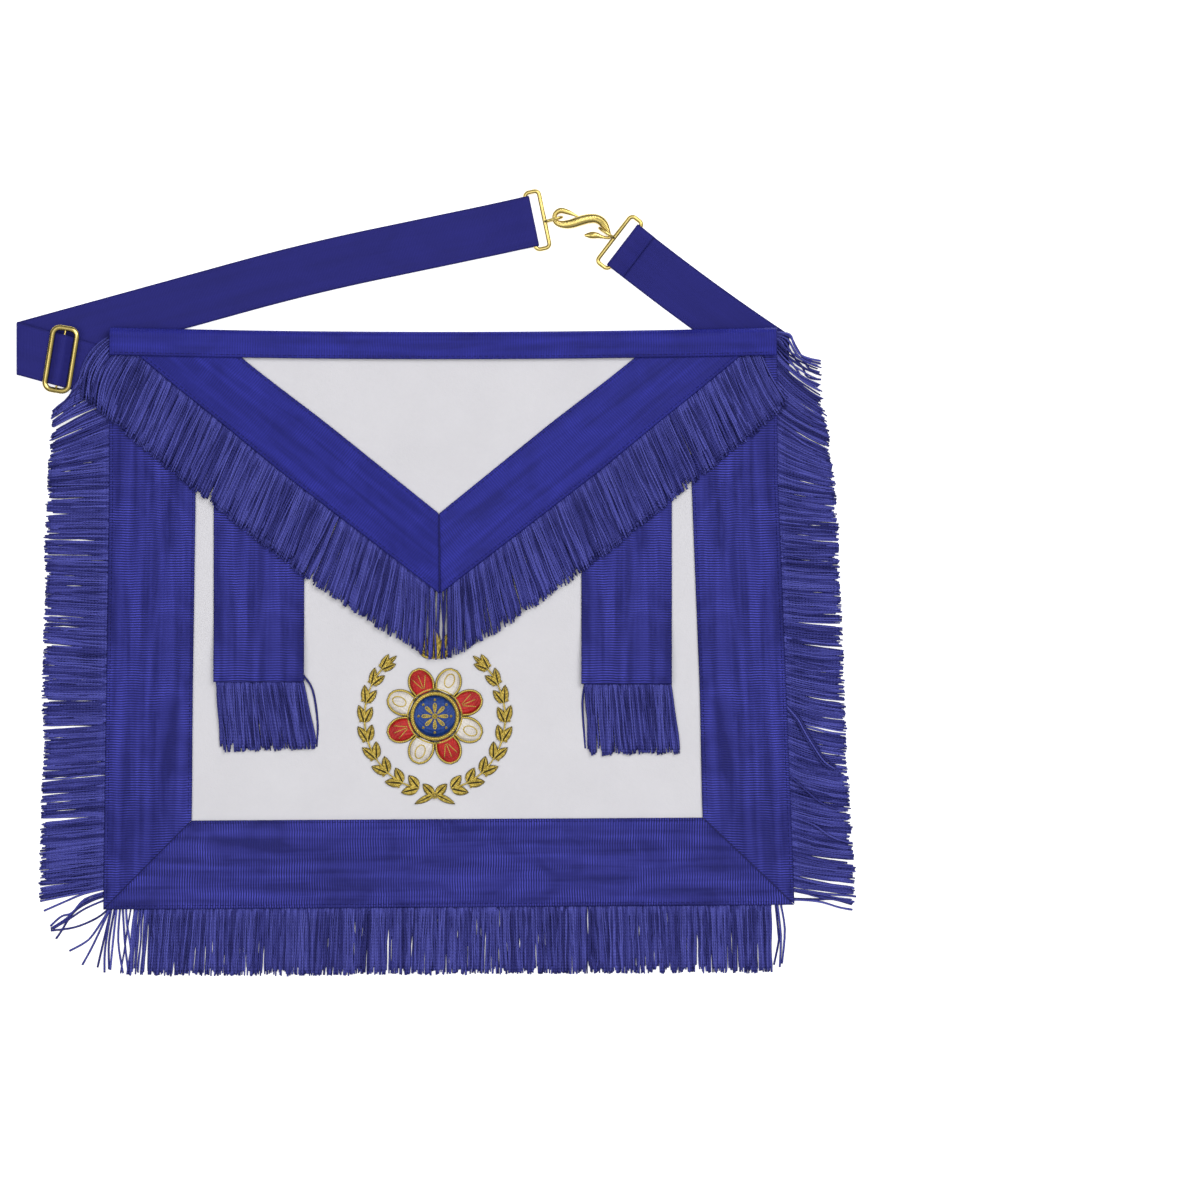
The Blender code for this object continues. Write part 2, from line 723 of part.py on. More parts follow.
def tube(name, points, radii, closed, group, material):
    """Make a round wire through points, as a welded mesh."""
    curve = bpy.data.curves.new(name, "CURVE")
    curve.dimensions = "3D"
    curve.bevel_depth = MM
    curve.bevel_resolution = 2
    curve.use_fill_caps = not closed
    spline = curve.splines.new("POLY")
    spline.points.add(len(points) - 1)
    spline.use_cyclic_u = closed
    for spot, point, radius in zip(spline.points, points, radii):
        spot.co = (*(Vector(point) * MM), 1)
        spot.radius = radius
    wire = bpy.data.objects.new(name + "_line", curve)
    group.objects.link(wire)
    graph = bpy.context.evaluated_depsgraph_get()
    mesh = bpy.data.meshes.new_from_object(wire.evaluated_get(graph))
    bm = bmesh.new()
    bm.from_mesh(mesh)
    bmesh.ops.remove_doubles(bm, verts=bm.verts, dist=0.000001)
    bmesh.ops.recalc_face_normals(bm, faces=bm.faces)
    bm.to_mesh(mesh)
    bm.free()
    mesh.name = name
    mesh.materials.clear()
    mesh.materials.append(material)
    mesh.shade_smooth()
    piece = bpy.data.objects.new(name, mesh)
    group.objects.link(piece)
    bpy.data.objects.remove(wire)
    return piece


def solder(piece, other, cutters):
    """Join another shape to a piece, so that the two are one solid."""
    joint = piece.modifiers.new("solder", "BOOLEAN")
    joint.operation = "UNION"
    joint.object = other
    for group in list(other.users_collection):
        group.objects.unlink(other)
    cutters.objects.link(other)
    other.hide_render = True
    other.display_type = "WIRE"


def rounded_ring(half_length, half_width, corner, steps):
    """Corner points of a flat ring with round corners, about its own middle."""
    points = []
    for turn in range(4):
        sx = (1, -1, -1, 1)[turn]
        sy = (1, 1, -1, -1)[turn]
        for step in range(steps + 1):
            angle = math.pi / 2 * (turn + step / steps)
            x = sx * (half_width - corner) + corner * math.cos(angle)
            y = sy * (half_length - corner) + corner * math.sin(angle)
            points.append(Vector((x, y, 0)))
    return points


def make_loop(name, bar, heading, eye, group, cutters, brass):
    """A strap loop: its bar inside the belt's turn, its free bar, and the soldered eye."""
    half_length = (LOOP_LENGTH - LOOP_WIRE) / 2
    turn = Matrix.Rotation(heading, 3, Z_AXIS)
    centre = Vector((bar.x, bar.y, HOOK_Z)) + turn @ Vector((LOOP_SPAN / 2, 0, 0))
    ring = rounded_ring(half_length, LOOP_SPAN / 2, LOOP_CORNER, 3)
    points = [centre + turn @ point for point in ring]
    piece = tube(name, points, [LOOP_WIRE / 2] * len(points), True, group, brass)

    root = centre + turn @ Vector((LOOP_SPAN / 2, eye.shift, 0))
    out = Vector((math.cos(eye.angle), math.sin(eye.angle), 0))
    points = []
    for step in range(14):
        angle = 2 * math.pi * step / 14
        along = EYE_LENGTH / 2 * (1 - math.cos(angle))
        points.append(root + out * along + Z_AXIS * (EYE_HEIGHT / 2 * math.sin(angle)))
    ring = tube(name + "_eye", points, [EYE_WIRE / 2] * len(points), True, group, brass)
    solder(piece, ring, cutters)


# Serpent hook: tail closed round the left eye, body, and neck bent round the right eye
SerpentPoint = namedtuple("SerpentPoint", "x y radius")
SERPENT = [
    SerpentPoint(83.8, 216.4, 0.5),
    SerpentPoint(80.8, 217.8, 0.8),
    SerpentPoint(77.4, 219.2, 1.3),
    SerpentPoint(73.6, 220.1, 1.4),
    SerpentPoint(70.8, 218.7, 1.1),
    SerpentPoint(69.8, 216.2, 1.0),
    SerpentPoint(70.6, 213.6, 1.2),
    SerpentPoint(72.9, 212.1, 1.6),
    SerpentPoint(76.3, 211.8, 2.3),
    SerpentPoint(80.0, 212.3, 2.7),
    SerpentPoint(83.8, 213.6, 2.9),
    SerpentPoint(87.4, 214.7, 2.8),
    SerpentPoint(90.6, 215.3, 2.5),
    SerpentPoint(93.9, 215.3, 2.3),
    SerpentPoint(96.8, 214.1, 2.3),
    SerpentPoint(99.0, 211.9, 2.2),
    SerpentPoint(100.7, 209.0, 1.5),
    SerpentPoint(102.1, 206.4, 0.9),
    SerpentPoint(102.6, 204.6, 0.8),
    SerpentPoint(101.2, 204.0, 0.8),
    SerpentPoint(98.8, 204.3, 0.8),
    SerpentPoint(96.9, 204.7, 1.1),
    SerpentPoint(95.1, 205.2, 1.6),
    SerpentPoint(92.8, 205.5, 2.0),
    SerpentPoint(90.6, 205.5, 1.8),
    SerpentPoint(88.7, 205.5, 1.1),
    SerpentPoint(87.4, 205.5, 0.5),
]


def through(points, per_span):
    """Sample a smooth curve through points, each a tuple of numbers."""
    samples = []
    for i in range(len(points) - 1):
        p0 = Vector(points[max(i - 1, 0)])
        p1, p2 = Vector(points[i]), Vector(points[i + 1])
        p3 = Vector(points[min(i + 2, len(points) - 1)])
        for step in range(per_span):
            t = step / per_span
            a = 2 * p1
            b = (p2 - p0) * t
            c = (2 * p0 - 5 * p1 + 4 * p2 - p3) * t * t
            d = (3 * p1 - p0 - 3 * p2 + p3) * t ** 3
            samples.append((a + b + c + d) / 2)
    samples.append(Vector(points[-1]))
    return samples


def make_serpent(group, brass):
    samples = through(SERPENT, 2)
    points = [Vector((x, y, 0)) for x, y, _ in samples]
    radii = [max(radius, 0.4) for _, _, radius in samples]
    hook = tube("snake_hook", points, radii, False, group, brass)
    flat = Matrix.Diagonal((1, 1, SERPENT_FLATNESS, 1))
    hook.data.transform(Matrix.Translation(Vector((0, 0, HOOK_Z)) * MM) @ flat)


def make_slider(group, cutters, brass):
    """Adjuster: a flat-sided frame over the belt, with the bar that the belt's end goes round."""
    length, width = SLIDER_SIZE
    ring = rounded_ring((length - SLIDER_WIRE) / 2, (width - SLIDER_WIRE) / 2, SLIDER_CORNER, 4)
    frame = tube("slider", ring, [SLIDER_WIRE / 2] * len(ring), True, group, brass)
    frame.data.transform(Matrix.Diagonal((1, 1, SLIDER_FLATNESS, 1)))
    reach = (length - SLIDER_WIRE) / 2
    ends = [Vector((0, -reach, 0)), Vector((0, reach, 0))]
    bar = tube("slider_bar", ends, [CENTRE_BAR / 2] * 2, False, group, brass)
    middle = belt_point(SLIDER_AT, SLIDER_OFFSET, 0)
    place = Matrix.Translation(Vector((middle.x, middle.y, SLIDER_Z)) * MM)
    place @= Matrix.Rotation(-SLIDER_TILT, 4, "Z")
    for piece in (frame, bar):
        piece.data.transform(place)
    solder(frame, bar, cutters)


def make_hardware(group, cutters, brass):
    bar = belt_plan(BELT_LENGTH, 0)
    make_loop("loop_left", bar, BELT_END_SLOPE, LEFT_EYE, group, cutters, brass)
    heading = SHORT_SLOPE + math.pi
    make_loop("loop_right", SHORT_START, heading, RIGHT_EYE, group, cutters, brass)
    make_serpent(group, brass)
    make_slider(group, cutters, brass)


# Emblem


def relief(name, outlines, thickness, edge, group, material):
    """Raise a flat shape with softened edges from closed outlines; inner ones are holes."""
    curve = bpy.data.curves.new(name, "CURVE")
    curve.dimensions = "2D"
    curve.fill_mode = "BOTH"
    curve.extrude = thickness / 2 * MM
    for outline in outlines:
        spline = curve.splines.new("POLY")
        spline.points.add(len(outline) - 1)
        spline.use_cyclic_u = True
        for spot, (x, y) in zip(spline.points, outline):
            spot.co = (x * MM, y * MM, 0, 1)
    flat = bpy.data.objects.new(name + "_outline", curve)
    group.objects.link(flat)
    graph = bpy.context.evaluated_depsgraph_get()
    mesh = bpy.data.meshes.new_from_object(flat.evaluated_get(graph))
    bm = bmesh.new()
    bm.from_mesh(mesh)
    bmesh.ops.remove_doubles(bm, verts=bm.verts, dist=0.000001)
    bmesh.ops.recalc_face_normals(bm, faces=bm.faces)
    top = [vert for vert in bm.verts if vert.co.z > 0]
    middle = sum((vert.co for vert in top), Vector()) / len(top)
    for vert in top:
        inward = (middle - vert.co).normalized()
        vert.co += Vector((inward.x, inward.y, 0)) * edge * MM
    bm.to_mesh(mesh)
    bm.free()
    mesh.name = name
    mesh.materials.clear()
    mesh.materials.append(material)
    piece = bpy.data.objects.new(name, mesh)
    piece.location = Vector((EMBLEM.x, EMBLEM.y, EMBLEM_BASE + thickness / 2)) * MM
    group.objects.link(piece)
    bpy.data.objects.remove(flat)
    return piece


def circle(radius, steps):
    turn = 2 * math.pi / steps
    return [(radius * math.cos(i * turn), radius * math.sin(i * turn)) for i in range(steps)]


def petal_outline():
    """Eight round petals in one closed outline."""
    points = []
    for petal in range(8):
        for step in range(6):
            t = step / 6
            angle = math.pi / 4 * (petal + t)
            bulge = math.sin(math.pi * t) ** 0.6
            radius = PETAL_INNER + 3.5 + (PETAL_OUTER - PETAL_INNER - 3.5) * bulge
            points.append((radius * math.cos(angle), radius * math.sin(angle)))
    return points


def wreath_outline(side):
    """A laurel branch: leaves stand off both sides of a stem that follows an arc."""
    start, end, leaves = math.radians(-76), math.radians(52), 9
    outer, inner = [], []
    for leaf in range(leaves):
        for step in range(3):
            t = (leaf + step / 3) / leaves
            angle = start + (end - start) * t
            reach = (1.2, 0.62 * WREATH_LEAF, WREATH_LEAF)[step] * (1 - 0.35 * t)
            stem = WREATH_RADIUS + 2.5 * math.sin(math.pi * t)
            outer.append((angle, stem + reach))
            inner.append((angle, stem - reach))
    tip = [(end + math.radians(3), WREATH_RADIUS)]
    ring = outer + tip + list(reversed(inner))
    return [(side * radius * math.cos(a), radius * math.sin(a) * 1.12) for a, radius in ring]


def make_emblem(group, bullion, blue, red):
    def ring_points(radius):
        turn = 2 * math.pi / 24
        height = EMBLEM_BASE + RING_WIRE / 2
        plan = [(math.cos(i * turn), math.sin(i * turn)) for i in range(24)]
        return [Vector((EMBLEM.x + radius * x, EMBLEM.y + radius * y, height)) for x, y in plan]

    relief("emblem_disc", [circle(DISC_RADIUS - GAP, 24)], 1.4, 0.3, group, blue)
    ring = ring_points(DISC_RADIUS + RING_WIRE / 2)
    tube("emblem_ring", ring, [RING_WIRE / 2] * len(ring), True, group, bullion)
    petals = [petal_outline(), circle(PETAL_INNER, 24)]
    relief("emblem_petals", petals, 1.5, 0.0, group, red)
    relief("emblem_wreath_right", [wreath_outline(1)], 1.6, 0.0, group, bullion)
    relief("emblem_wreath_left", [wreath_outline(-1)], 1.6, 0.0, group, bullion)
    bow = [(0, -45.5), (4, -38.5), (8.2, -40.5), (6.8, -45.0), (12.5, -52.0), (6.0, -50.2), (0, -47.8)]
    bow += [(-x, y) for x, y in reversed(bow[1:-1])]
    relief("emblem_bow", [bow], 2.0, 0.0, group, bullion)
    finial = [(3.0, 33.5), (10.5, 38.5), (7.0, 42.5), (8.0, 49.0), (3.6, 48.5), (0, 56.0)]
    finial += [(-x, y) for x, y in reversed(finial[:-1])]
    relief("emblem_finial", [finial], 1.0, 0.0, group, bullion)


def main():
    clear_scene()
    group = make_collection("dress_apron")
    cutters = make_collection("cutters")
    material = {name: make_material(name) for name in MATERIALS}
    make_body(group, material["leather"], material["ribbon"])
    make_outer_fringes(group, material["fringe"])
    make_flap(group, material["leather"], material["ribbon"], material["fringe"])
    make_tabs(group, material["ribbon"], material["fringe"])
    make_waistband(group, material["ribbon"])
    make_belts(group, material["webbing"])
    make_hardware(group, cutters, material["brass"])
    make_emblem(group, material["bullion"], material["blue_thread"], material["red_thread"])


main()
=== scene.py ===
"""Looks of a dress apron: leather, moire ribbons, twisted fringes, belt, gilt hook and emblem.

The lengths here are millimetres in the model's own frame until a mesh is made. The camera's
height, the lamps, and the ribs, coils and bumps of the materials are in metres.
"""

import math
import random
from collections import namedtuple

import bpy
from mathutils import Matrix, Vector, noise


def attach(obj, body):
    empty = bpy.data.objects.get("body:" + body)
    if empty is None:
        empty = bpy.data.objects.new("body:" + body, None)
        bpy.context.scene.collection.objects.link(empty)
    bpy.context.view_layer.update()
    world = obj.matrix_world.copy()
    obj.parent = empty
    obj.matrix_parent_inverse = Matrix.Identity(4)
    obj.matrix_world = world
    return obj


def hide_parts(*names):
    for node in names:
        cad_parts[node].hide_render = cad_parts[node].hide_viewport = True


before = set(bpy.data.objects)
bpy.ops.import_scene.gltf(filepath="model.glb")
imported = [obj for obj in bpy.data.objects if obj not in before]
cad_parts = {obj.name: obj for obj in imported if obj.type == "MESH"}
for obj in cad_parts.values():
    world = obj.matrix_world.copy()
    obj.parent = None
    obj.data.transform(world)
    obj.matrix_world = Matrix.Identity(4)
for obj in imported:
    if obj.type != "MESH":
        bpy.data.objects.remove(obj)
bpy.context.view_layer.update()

MM = 0.001
TURN = 2 * math.pi
Z_AXIS = Vector((0, 0, 1))

# Cloth, as in the solid model
RIBBON_WIDTH = 50.8
FRINGE_LENGTH = 38.1
BELT_WIDTH = 30.0
TAB_WIDTH = 53.3
LEATHER = 1.0
RIBBON = 1.0
WEBBING = 1.0
GAP = 0.3
FRINGE_HEADER = 4.5

BODY_TOP = 151.1
BODY_TOP_MIDDLE = 148.7
LEFT_EDGE = [(-191.6, 151.1), (-192.0, 64.1), (-195.8, -191.3)]
RIGHT_EDGE = [(200.6, 151.1), (201.1, 64.1), (211.1, -188.5)]
MITRE_LEFT = (Vector((-195.8, -191.3)), Vector((-143.7, -138.9)))
MITRE_RIGHT = (Vector((211.1, -188.5)), Vector((157.0, -137.2)))
BOTTOM_FRINGE_END = 203.8
BAND_HEIGHT = 16.3
LAYERS_TOP = 147.0
FLAP_LEFT = [(-189.0, 147.0), (-172.4, 133.3), (-91.1, 66.3), (1.9, -5.2)]
FLAP_RIGHT = [(193.8, 147.0), (177.2, 133.3), (95.9, 66.3), (2.8, -5.2)]
FLAP_LEAN = math.radians(50.5)
FLAP_FOOT = 3.2
FLAP_TIP = (1.0, 3.7)
FLAP_HEADER_START = 5.6
FLAP_POINT_BARE = 3.8
FLAP_INNER_LEFT = [(-129.1, 147.0), (1.6, 42.0)]
FLAP_INNER_RIGHT = [(131.9, 147.0), (2.2, 42.0)]
TABS = {"left": (-130.8, -57.4), "right": (85.6, -58.6)}
TAB_RISE_START = -15.0
TAB_RISE_RUN = 30.0
TAB_LIFT = 1.2

# Width and length along which the cloths are divided
BODY_SIZE = (390.0, 333.0)
SIDE_RIBBON = 338.0
BOTTOM_RIBBON = (52.3, 406.0)
FLAP_SIZE = (360.0, 143.8)
FLAP_RIBBON_SIZE = (38.0, 244.0)

# Heights of the layers
RIBBON_LEVEL = LEATHER + GAP
FLAP_LEVEL = RIBBON_LEVEL + RIBBON + GAP
FLAP_RIBBON_LEVEL = FLAP_LEVEL + LEATHER + GAP
BAND_HOLLOW = FLAP_RIBBON_LEVEL + RIBBON + GAP
LAYER_STEP = RIBBON + GAP

Corner = namedtuple("Corner", "left right bottom height")
BELT_UNDER_LEFT = Corner(-230.0, -150.0, 104.0, 2.6)
BELT_UNDER_RIGHT = Corner(148.0, 215.0, 108.0, 1.3)
CORNER_RUN = 70.0
BAND_RISE_START = 30.0
BAND_RISE_RUN = 70.0

# Belt
BELT_SLOPE = math.radians(15.4)
CREASE = Vector((-244.4, 138.4))
CREASE_RADIUS = 1.3
CREASE_AXIS_Z = 2.45
BELT_LAYER = 0.65
BELT_BEND_START = 140.0
BELT_BEND_END = 220.0
BELT_LENGTH = 313.3
BELT_END_SLOPE = math.radians(11.8)
BELT_CLIMB_START = 28.0
BELT_CLIMB_RUN = 24.0
BELT_CORNER_END = -58.5
GATHER_START = -31.0
GATHER_RUN = 9.0
GATHER_REACH = 16.0
GATHER_FADE = 10.0
GATHER_HEIGHT = 0.42
SLIDER_AT = -24.8
SLIDER_OFFSET = 0.6
SLIDER_Z = 6.2
SHORT_START = Vector((111.5, 198.7))
SHORT_SLOPE = math.radians(-37.5)
SHORT_END_SLOPE = math.radians(-33.0)
SHORT_STRAIGHT = 25.0
SHORT_LENGTH = 119.0
SHORT_TURNOVER = 10.0

# Brass
LOOP_LENGTH = 36.3
LOOP_SPAN = 8.4
LOOP_WIRE = 2.2
LOOP_CORNER = 2.6
HOOK_Z = 3.5
POLISH = 0.2
EYE_WIRE = 1.5
EYE_LENGTH = 10.4
EYE_HEIGHT = 5.4
EYE_STEPS = 32
Eye = namedtuple("Eye", "angle shift")
LEFT_EYE = Eye(math.radians(15.0), -1.8)
RIGHT_EYE = Eye(math.radians(146.0), 0.0)
SERPENT_FLATNESS = 0.72
SERPENT_STEPS = 14
SCALE_PITCH = 0.85
SCALE_RELIEF = 0.055
SCALES_END = 300
SCALES_FADE = 40
SLIDER_SIZE = (40.0, 17.4)
SLIDER_WIRE = 3.2
SLIDER_FLATNESS = 0.625
SLIDER_RIDGE = 1.5
SLIDER_TILT = math.radians(9.1)
SLIDER_CORNER = 4.2
CENTRE_BAR = 1.4

# Fine surface
RIPPLE = 0.5
RIPPLE_SLOW = (62.0, 48.0)
RIPPLE_FINE = (23.0, 27.0)
SAG_START = 90.0
SAG_RUN = 45.0
TAB_LIFT_START = -18.0
TAB_LIFT_RUN = 40.0
TAB_LIFT_TILT = 0.6
LEATHER_STEP = 4.0
RIBBON_STEP = 3.0
HEADER_HEIGHT = 0.9
CORD_RADIUS = 0.56
STRAY_RADIUS = 0.70
CORD_SIDES = 5
CORD_STEPS = 9
ROOT_UNDER = 1.2
OFF_FLOOR = 1.06
CROSSING_RISE = 2.6

# How the cords lie in tufts and stray from them: lengths along the header, turns in degrees
TUFT_LENGTH = 5.5
OWN_TUFT_LENGTH = 4.0
SWAY_LENGTH = 19.0
TUFT_TURN = 3.0
OWN_TUFT_TURN = 1.5
SWAY_TURN = 2.0
LOOSE_TURN = 0.9
LONGEST_CORD = 1.035
CORD_SHORTFALL = 0.13
CORD_WAVE = (0.05, 0.32)
TIP_TAPER = 0.82

# Stitches
STITCH_LENGTH = 2.4
STITCH_PITCH = 3.3
STITCH_RADIUS = 0.16
STITCH_ARCH = 0.16
STITCH_SINK = 0.06
STITCH_INSET = 1.9
STITCH_INSET_INNER = 1.7

# Ribs of the cloth, turns of the cords and coils of the threads, in metres
RIBBON_RIB = 0.0015
BELT_RIB = 0.0009
CORD_TWIST = 0.0019
GOLD_COIL = 0.0011
SATIN_COIL = 0.0021
COIL_SLANT = 6.28

# Raised emblem
EMBLEM = Vector((-0.6, -77.5))
EMBLEM_BASE = LEATHER + GAP
DISC_RADIUS = 12.2
PETAL_INNER = 15.6
PETAL_OUTER = 29.5
PETAL_SHOULDER = 19.1
PETALS = 8
PETAL_GAP = 0.045
INLAY_MIDDLE = 22.6
INLAY_HALF = (4.1, 2.7)
ROSETTE_PETALS = 8
WREATH_RADIUS = 39.0
WREATH_LEAF = 5.4
WREATH_LEAVES = 9
WREATH_STRETCH = 1.12
WREATH_START = -76.0
WREATH_SWEEP = 128.0
THREAD_RADIUS = 0.3
THREAD_PITCH = 0.46
ROPE_RADIUS = 1.15

# Camera and light, from the photograph's frame: 1200 pixels of 0.589 mm
PICTURE_WIDTH = 706.8
CAMERA_HEIGHT = 3.0
CAMERA_X = 96.6
CAMERA_Y = -9.1
SENSOR = 36.0
FLOOR_REACH = 4000.0
FLOOR_GLOW = 0.6
SKY = ((0.25, (0.10, 0.10, 0.11)), (0.80, (1, 1, 1)))
SKY_STRENGTH = 0.66
Lamp = namedtuple("Lamp", "name place size power")
LAMPS = (
    Lamp("key", (1.9, 1.9, 3.4), 2.4, 72.0),
    Lamp("fill", (-2.6, -0.3, 3.8), 2.4, 32.0),
    Lamp("top", (0.1, -0.1, 3.6), 1.6, 13.5),
)

Hang = namedtuple("Hang", "along heading share")

# How the strands lie: distance along the header, heading in degrees from +X, share of the length
HANG_LEFT = [
    Hang(0, 241, 0.97), Hang(9, 237, 1.06), Hang(27, 210, 0.98), Hang(41, 204, 0.97),
    Hang(59, 200, 0.95), Hang(71, 191, 0.94), Hang(86, 183, 0.93), Hang(108, 180, 0.955),
    Hang(124, 178, 0.975), Hang(150, 178, 0.94), Hang(185, 176, 0.96), Hang(210, 179, 0.975),
    Hang(237, 183, 0.93), Hang(270, 184, 0.955), Hang(318, 187, 0.98), Hang(336, 190, 0.97),
]
HANG_BOTTOM = [
    Hang(0, 226, 0.80), Hang(6, 246, 0.89), Hang(18, 264, 0.99), Hang(100, 268, 1.01),
    Hang(400, 273, 1.01),
]
HANG_RIGHT = [
    Hang(0, 350, 0.93), Hang(26, 350, 0.945), Hang(45, 349, 0.93), Hang(80, 346, 0.92),
    Hang(100, 345, 0.915), Hang(120, 347, 0.91), Hang(140, 352, 0.90), Hang(175, 357, 0.885),
    Hang(210, 355, 0.885), Hang(235, 351, 0.885), Hang(251, 345, 0.885), Hang(263, 338, 0.89),
    Hang(275, 331, 0.90), Hang(291, 326, 0.91), Hang(306, 319, 0.92), Hang(318, 318, 0.91),
    Hang(331, 327, 0.82),
]

# How far the right fringe's strands bow below a straight line
BOW_RIGHT = [
    (0, -0.5), (40, -1.1), (90, -1.6), (125, -1.2), (150, -0.6), (210, -0.4), (245, -0.9),
    (300, -1.3), (325, -2.6),
]

# Where the strands part and the floor shows: distance along the header, degrees to each side
Parting = namedtuple("Parting", "along degrees")
PARTED_LEFT = [
    Parting(33, 2.3), Parting(40, 1.9), Parting(48, 1.2), Parting(88, 1.5), Parting(95, 1.5),
    Parting(105, 1.4), Parting(130, 1.5), Parting(163, 1.2), Parting(185, 1.5), Parting(230, 2.0),
    Parting(268, 1.5), Parting(283, 2.6), Parting(297, 1.2), Parting(303, 1.2),
]
PARTED_BOTTOM = [Parting(27, 1.8), Parting(142, 1.0), Parting(367, 1.4), Parting(372, 1.4)]
PARTED_RIGHT = [
    Parting(13, 2.2), Parting(27, 1.8), Parting(122, 1.6), Parting(151, 2.0), Parting(157, 1.4),
    Parting(163, 2.4), Parting(189, 1.0), Parting(212, 1.2), Parting(224, 1.0), Parting(282, 2.0),
]
HANG_FLAP_LEFT = [
    Hang(0, 240, 1.06), Hang(16, 246, 1.08), Hang(166, 247, 1.08), Hang(206, 258, 1.09),
    Hang(235, 272, 1.10),
]
HANG_FLAP_RIGHT = [
    Hang(0, 268, 1.10), Hang(32, 282, 1.09), Hang(72, 293, 1.08), Hang(219, 294, 1.08),
    Hang(235, 296, 1.06),
]
HANG_TABS = {
    "left": [Hang(0, 273, 1.05), Hang(TAB_WIDTH, 283, 1.02)],
    "right": [Hang(0, 274, 1.07), Hang(TAB_WIDTH, 277, 1.04)],
}

# Single strands that stray at the corners and the tabs: points in the plan, from root to tip
STRAY_LEFT = [
    [(-192.0, -176.5), (-206.9, -177.8), (-220.3, -179.6), (-233.5, -183.8)],
    [(-192.0, -178.0), (-206.9, -181.0), (-224.1, -184.5), (-233.1, -186.4)],
    [(-192.0, -178.5), (-206.9, -181.9), (-218.9, -186.8), (-230.9, -192.1)],
    [(-195.0, -181.0), (-206.9, -185.3), (-214.3, -193.2), (-220.7, -195.4), (-227.1, -201.1)],
    [(-195.0, -182.0), (-208.3, -187.5), (-216.6, -195.8), (-226.8, -202.6)],
    [(-192.0, -184.5), (-206.1, -190.5), (-216.6, -197.3), (-225.6, -202.6)],
    [(-192.0, -182.5), (-203.5, -186.5), (-213.4, -193.0), (-221.1, -204.8), (-223.8, -208.6)],
]
STRAY_BOTTOM = [
    [(-191.5, -190.0), (-200.1, -196.5), (-212.9, -201.8), (-226.8, -203.7)],
    [(-191.5, -190.0), (-201.6, -205.6), (-206.9, -210.8), (-215.9, -215.7)],
    [(-191.5, -190.0), (-201.6, -211.6), (-208.3, -224.0)],
    [(-191.0, -190.0), (-196.3, -212.3), (-199.3, -225.5)],
    [(-191.0, -190.0), (-194.8, -213.9), (-195.2, -228.5)],
    [(-189.0, -190.0), (-192.5, -210.1), (-192.5, -226.6)],
    [(-188.0, -190.0), (-190.0, -208.6), (-191.8, -227.0)],
    [(-186.0, -190.0), (-187.1, -210.1), (-184.3, -228.9)],
    [(-184.5, -190.0), (-183.2, -210.8), (-181.3, -227.4)],
    [(-182.5, -190.0), (-181.9, -200.0), (-179.8, -213.9), (-179.0, -228.1)],
    [(199.6, -185.5), (201.7, -206.3), (201.7, -210.4), (199.0, -223.9)],
    [(200.6, -185.5), (203.0, -206.3), (202.4, -225.3)],
    [(202.4, -185.5), (205.4, -202.9), (203.7, -223.2)],
]
STRAY_RIGHT = [
    [(205.5, -185.5), (224.0, -186.4), (237.5, -190.1), (245.3, -191.5)],
    [(206.0, -184.8), (224.0, -185.4), (234.1, -185.4), (245.0, -188.4)],
    [(200.0, 148.5), (208.2, 147.1), (210.5, 141.5), (213.8, 135.9), (218.9, 133.2), (226.6, 131.6)],
    [(200.0, 147.5), (208.0, 146.0), (212.3, 139.2), (216.9, 132.9), (226.6, 129.9)],
    [(200.0, 147.0), (206.8, 144.3), (211.9, 135.9), (216.6, 131.3), (219.8, 127.1), (225.9, 124.8)],
    [(200.0, 146.0), (204.9, 143.4), (210.5, 134.1), (215.6, 128.0), (218.9, 122.0), (226.8, 120.6)],
    [(200.0, 145.0), (203.6, 142.5), (208.2, 132.2), (212.9, 125.7), (217.0, 119.2), (226.2, 114.0)],
]

# Locks that cross over their neighbours on the right
CROSSING_RIGHT = [
    [(205.5, -72.0), (212.0, -79.8), (215.8, -87.0), (221.6, -96.5), (227.4, -105.0), (234.0, -109.5)],
    [(206.0, -71.2), (213.0, -79.2), (216.9, -86.4), (222.7, -95.8), (228.6, -104.2), (235.0, -108.6)],
    [(206.5, -70.4), (213.9, -78.4), (217.9, -85.7), (223.7, -95.1), (229.5, -103.2), (235.5, -106.8)],
    [(206.5, -111.0), (213.0, -116.5), (220.5, -123.5), (228.5, -129.5), (236.5, -132.2)],
    [(212.0, -137.5), (222.5, -141.5), (233.0, -148.5), (245.3, -152.4)],
]
STRAY_POINT = [
    [(1.6, -2.0), (1.0, -20.0), (-0.4, -41.0)],
    [(2.0, -2.0), (1.6, -21.0), (0.9, -43.0)],
    [(2.8, -2.0), (4.1, -19.0), (5.8, -44.0)],
]
STRAY_TABS = {
    "left": [[(-78.6, -52.8), (-72.6, -62.1), (-69.7, -80.8), (-70.1, -95.5)]],
    "right": [[(88.4, -55.0), (86.2, -70.0), (88.0, -96.5)]],
}

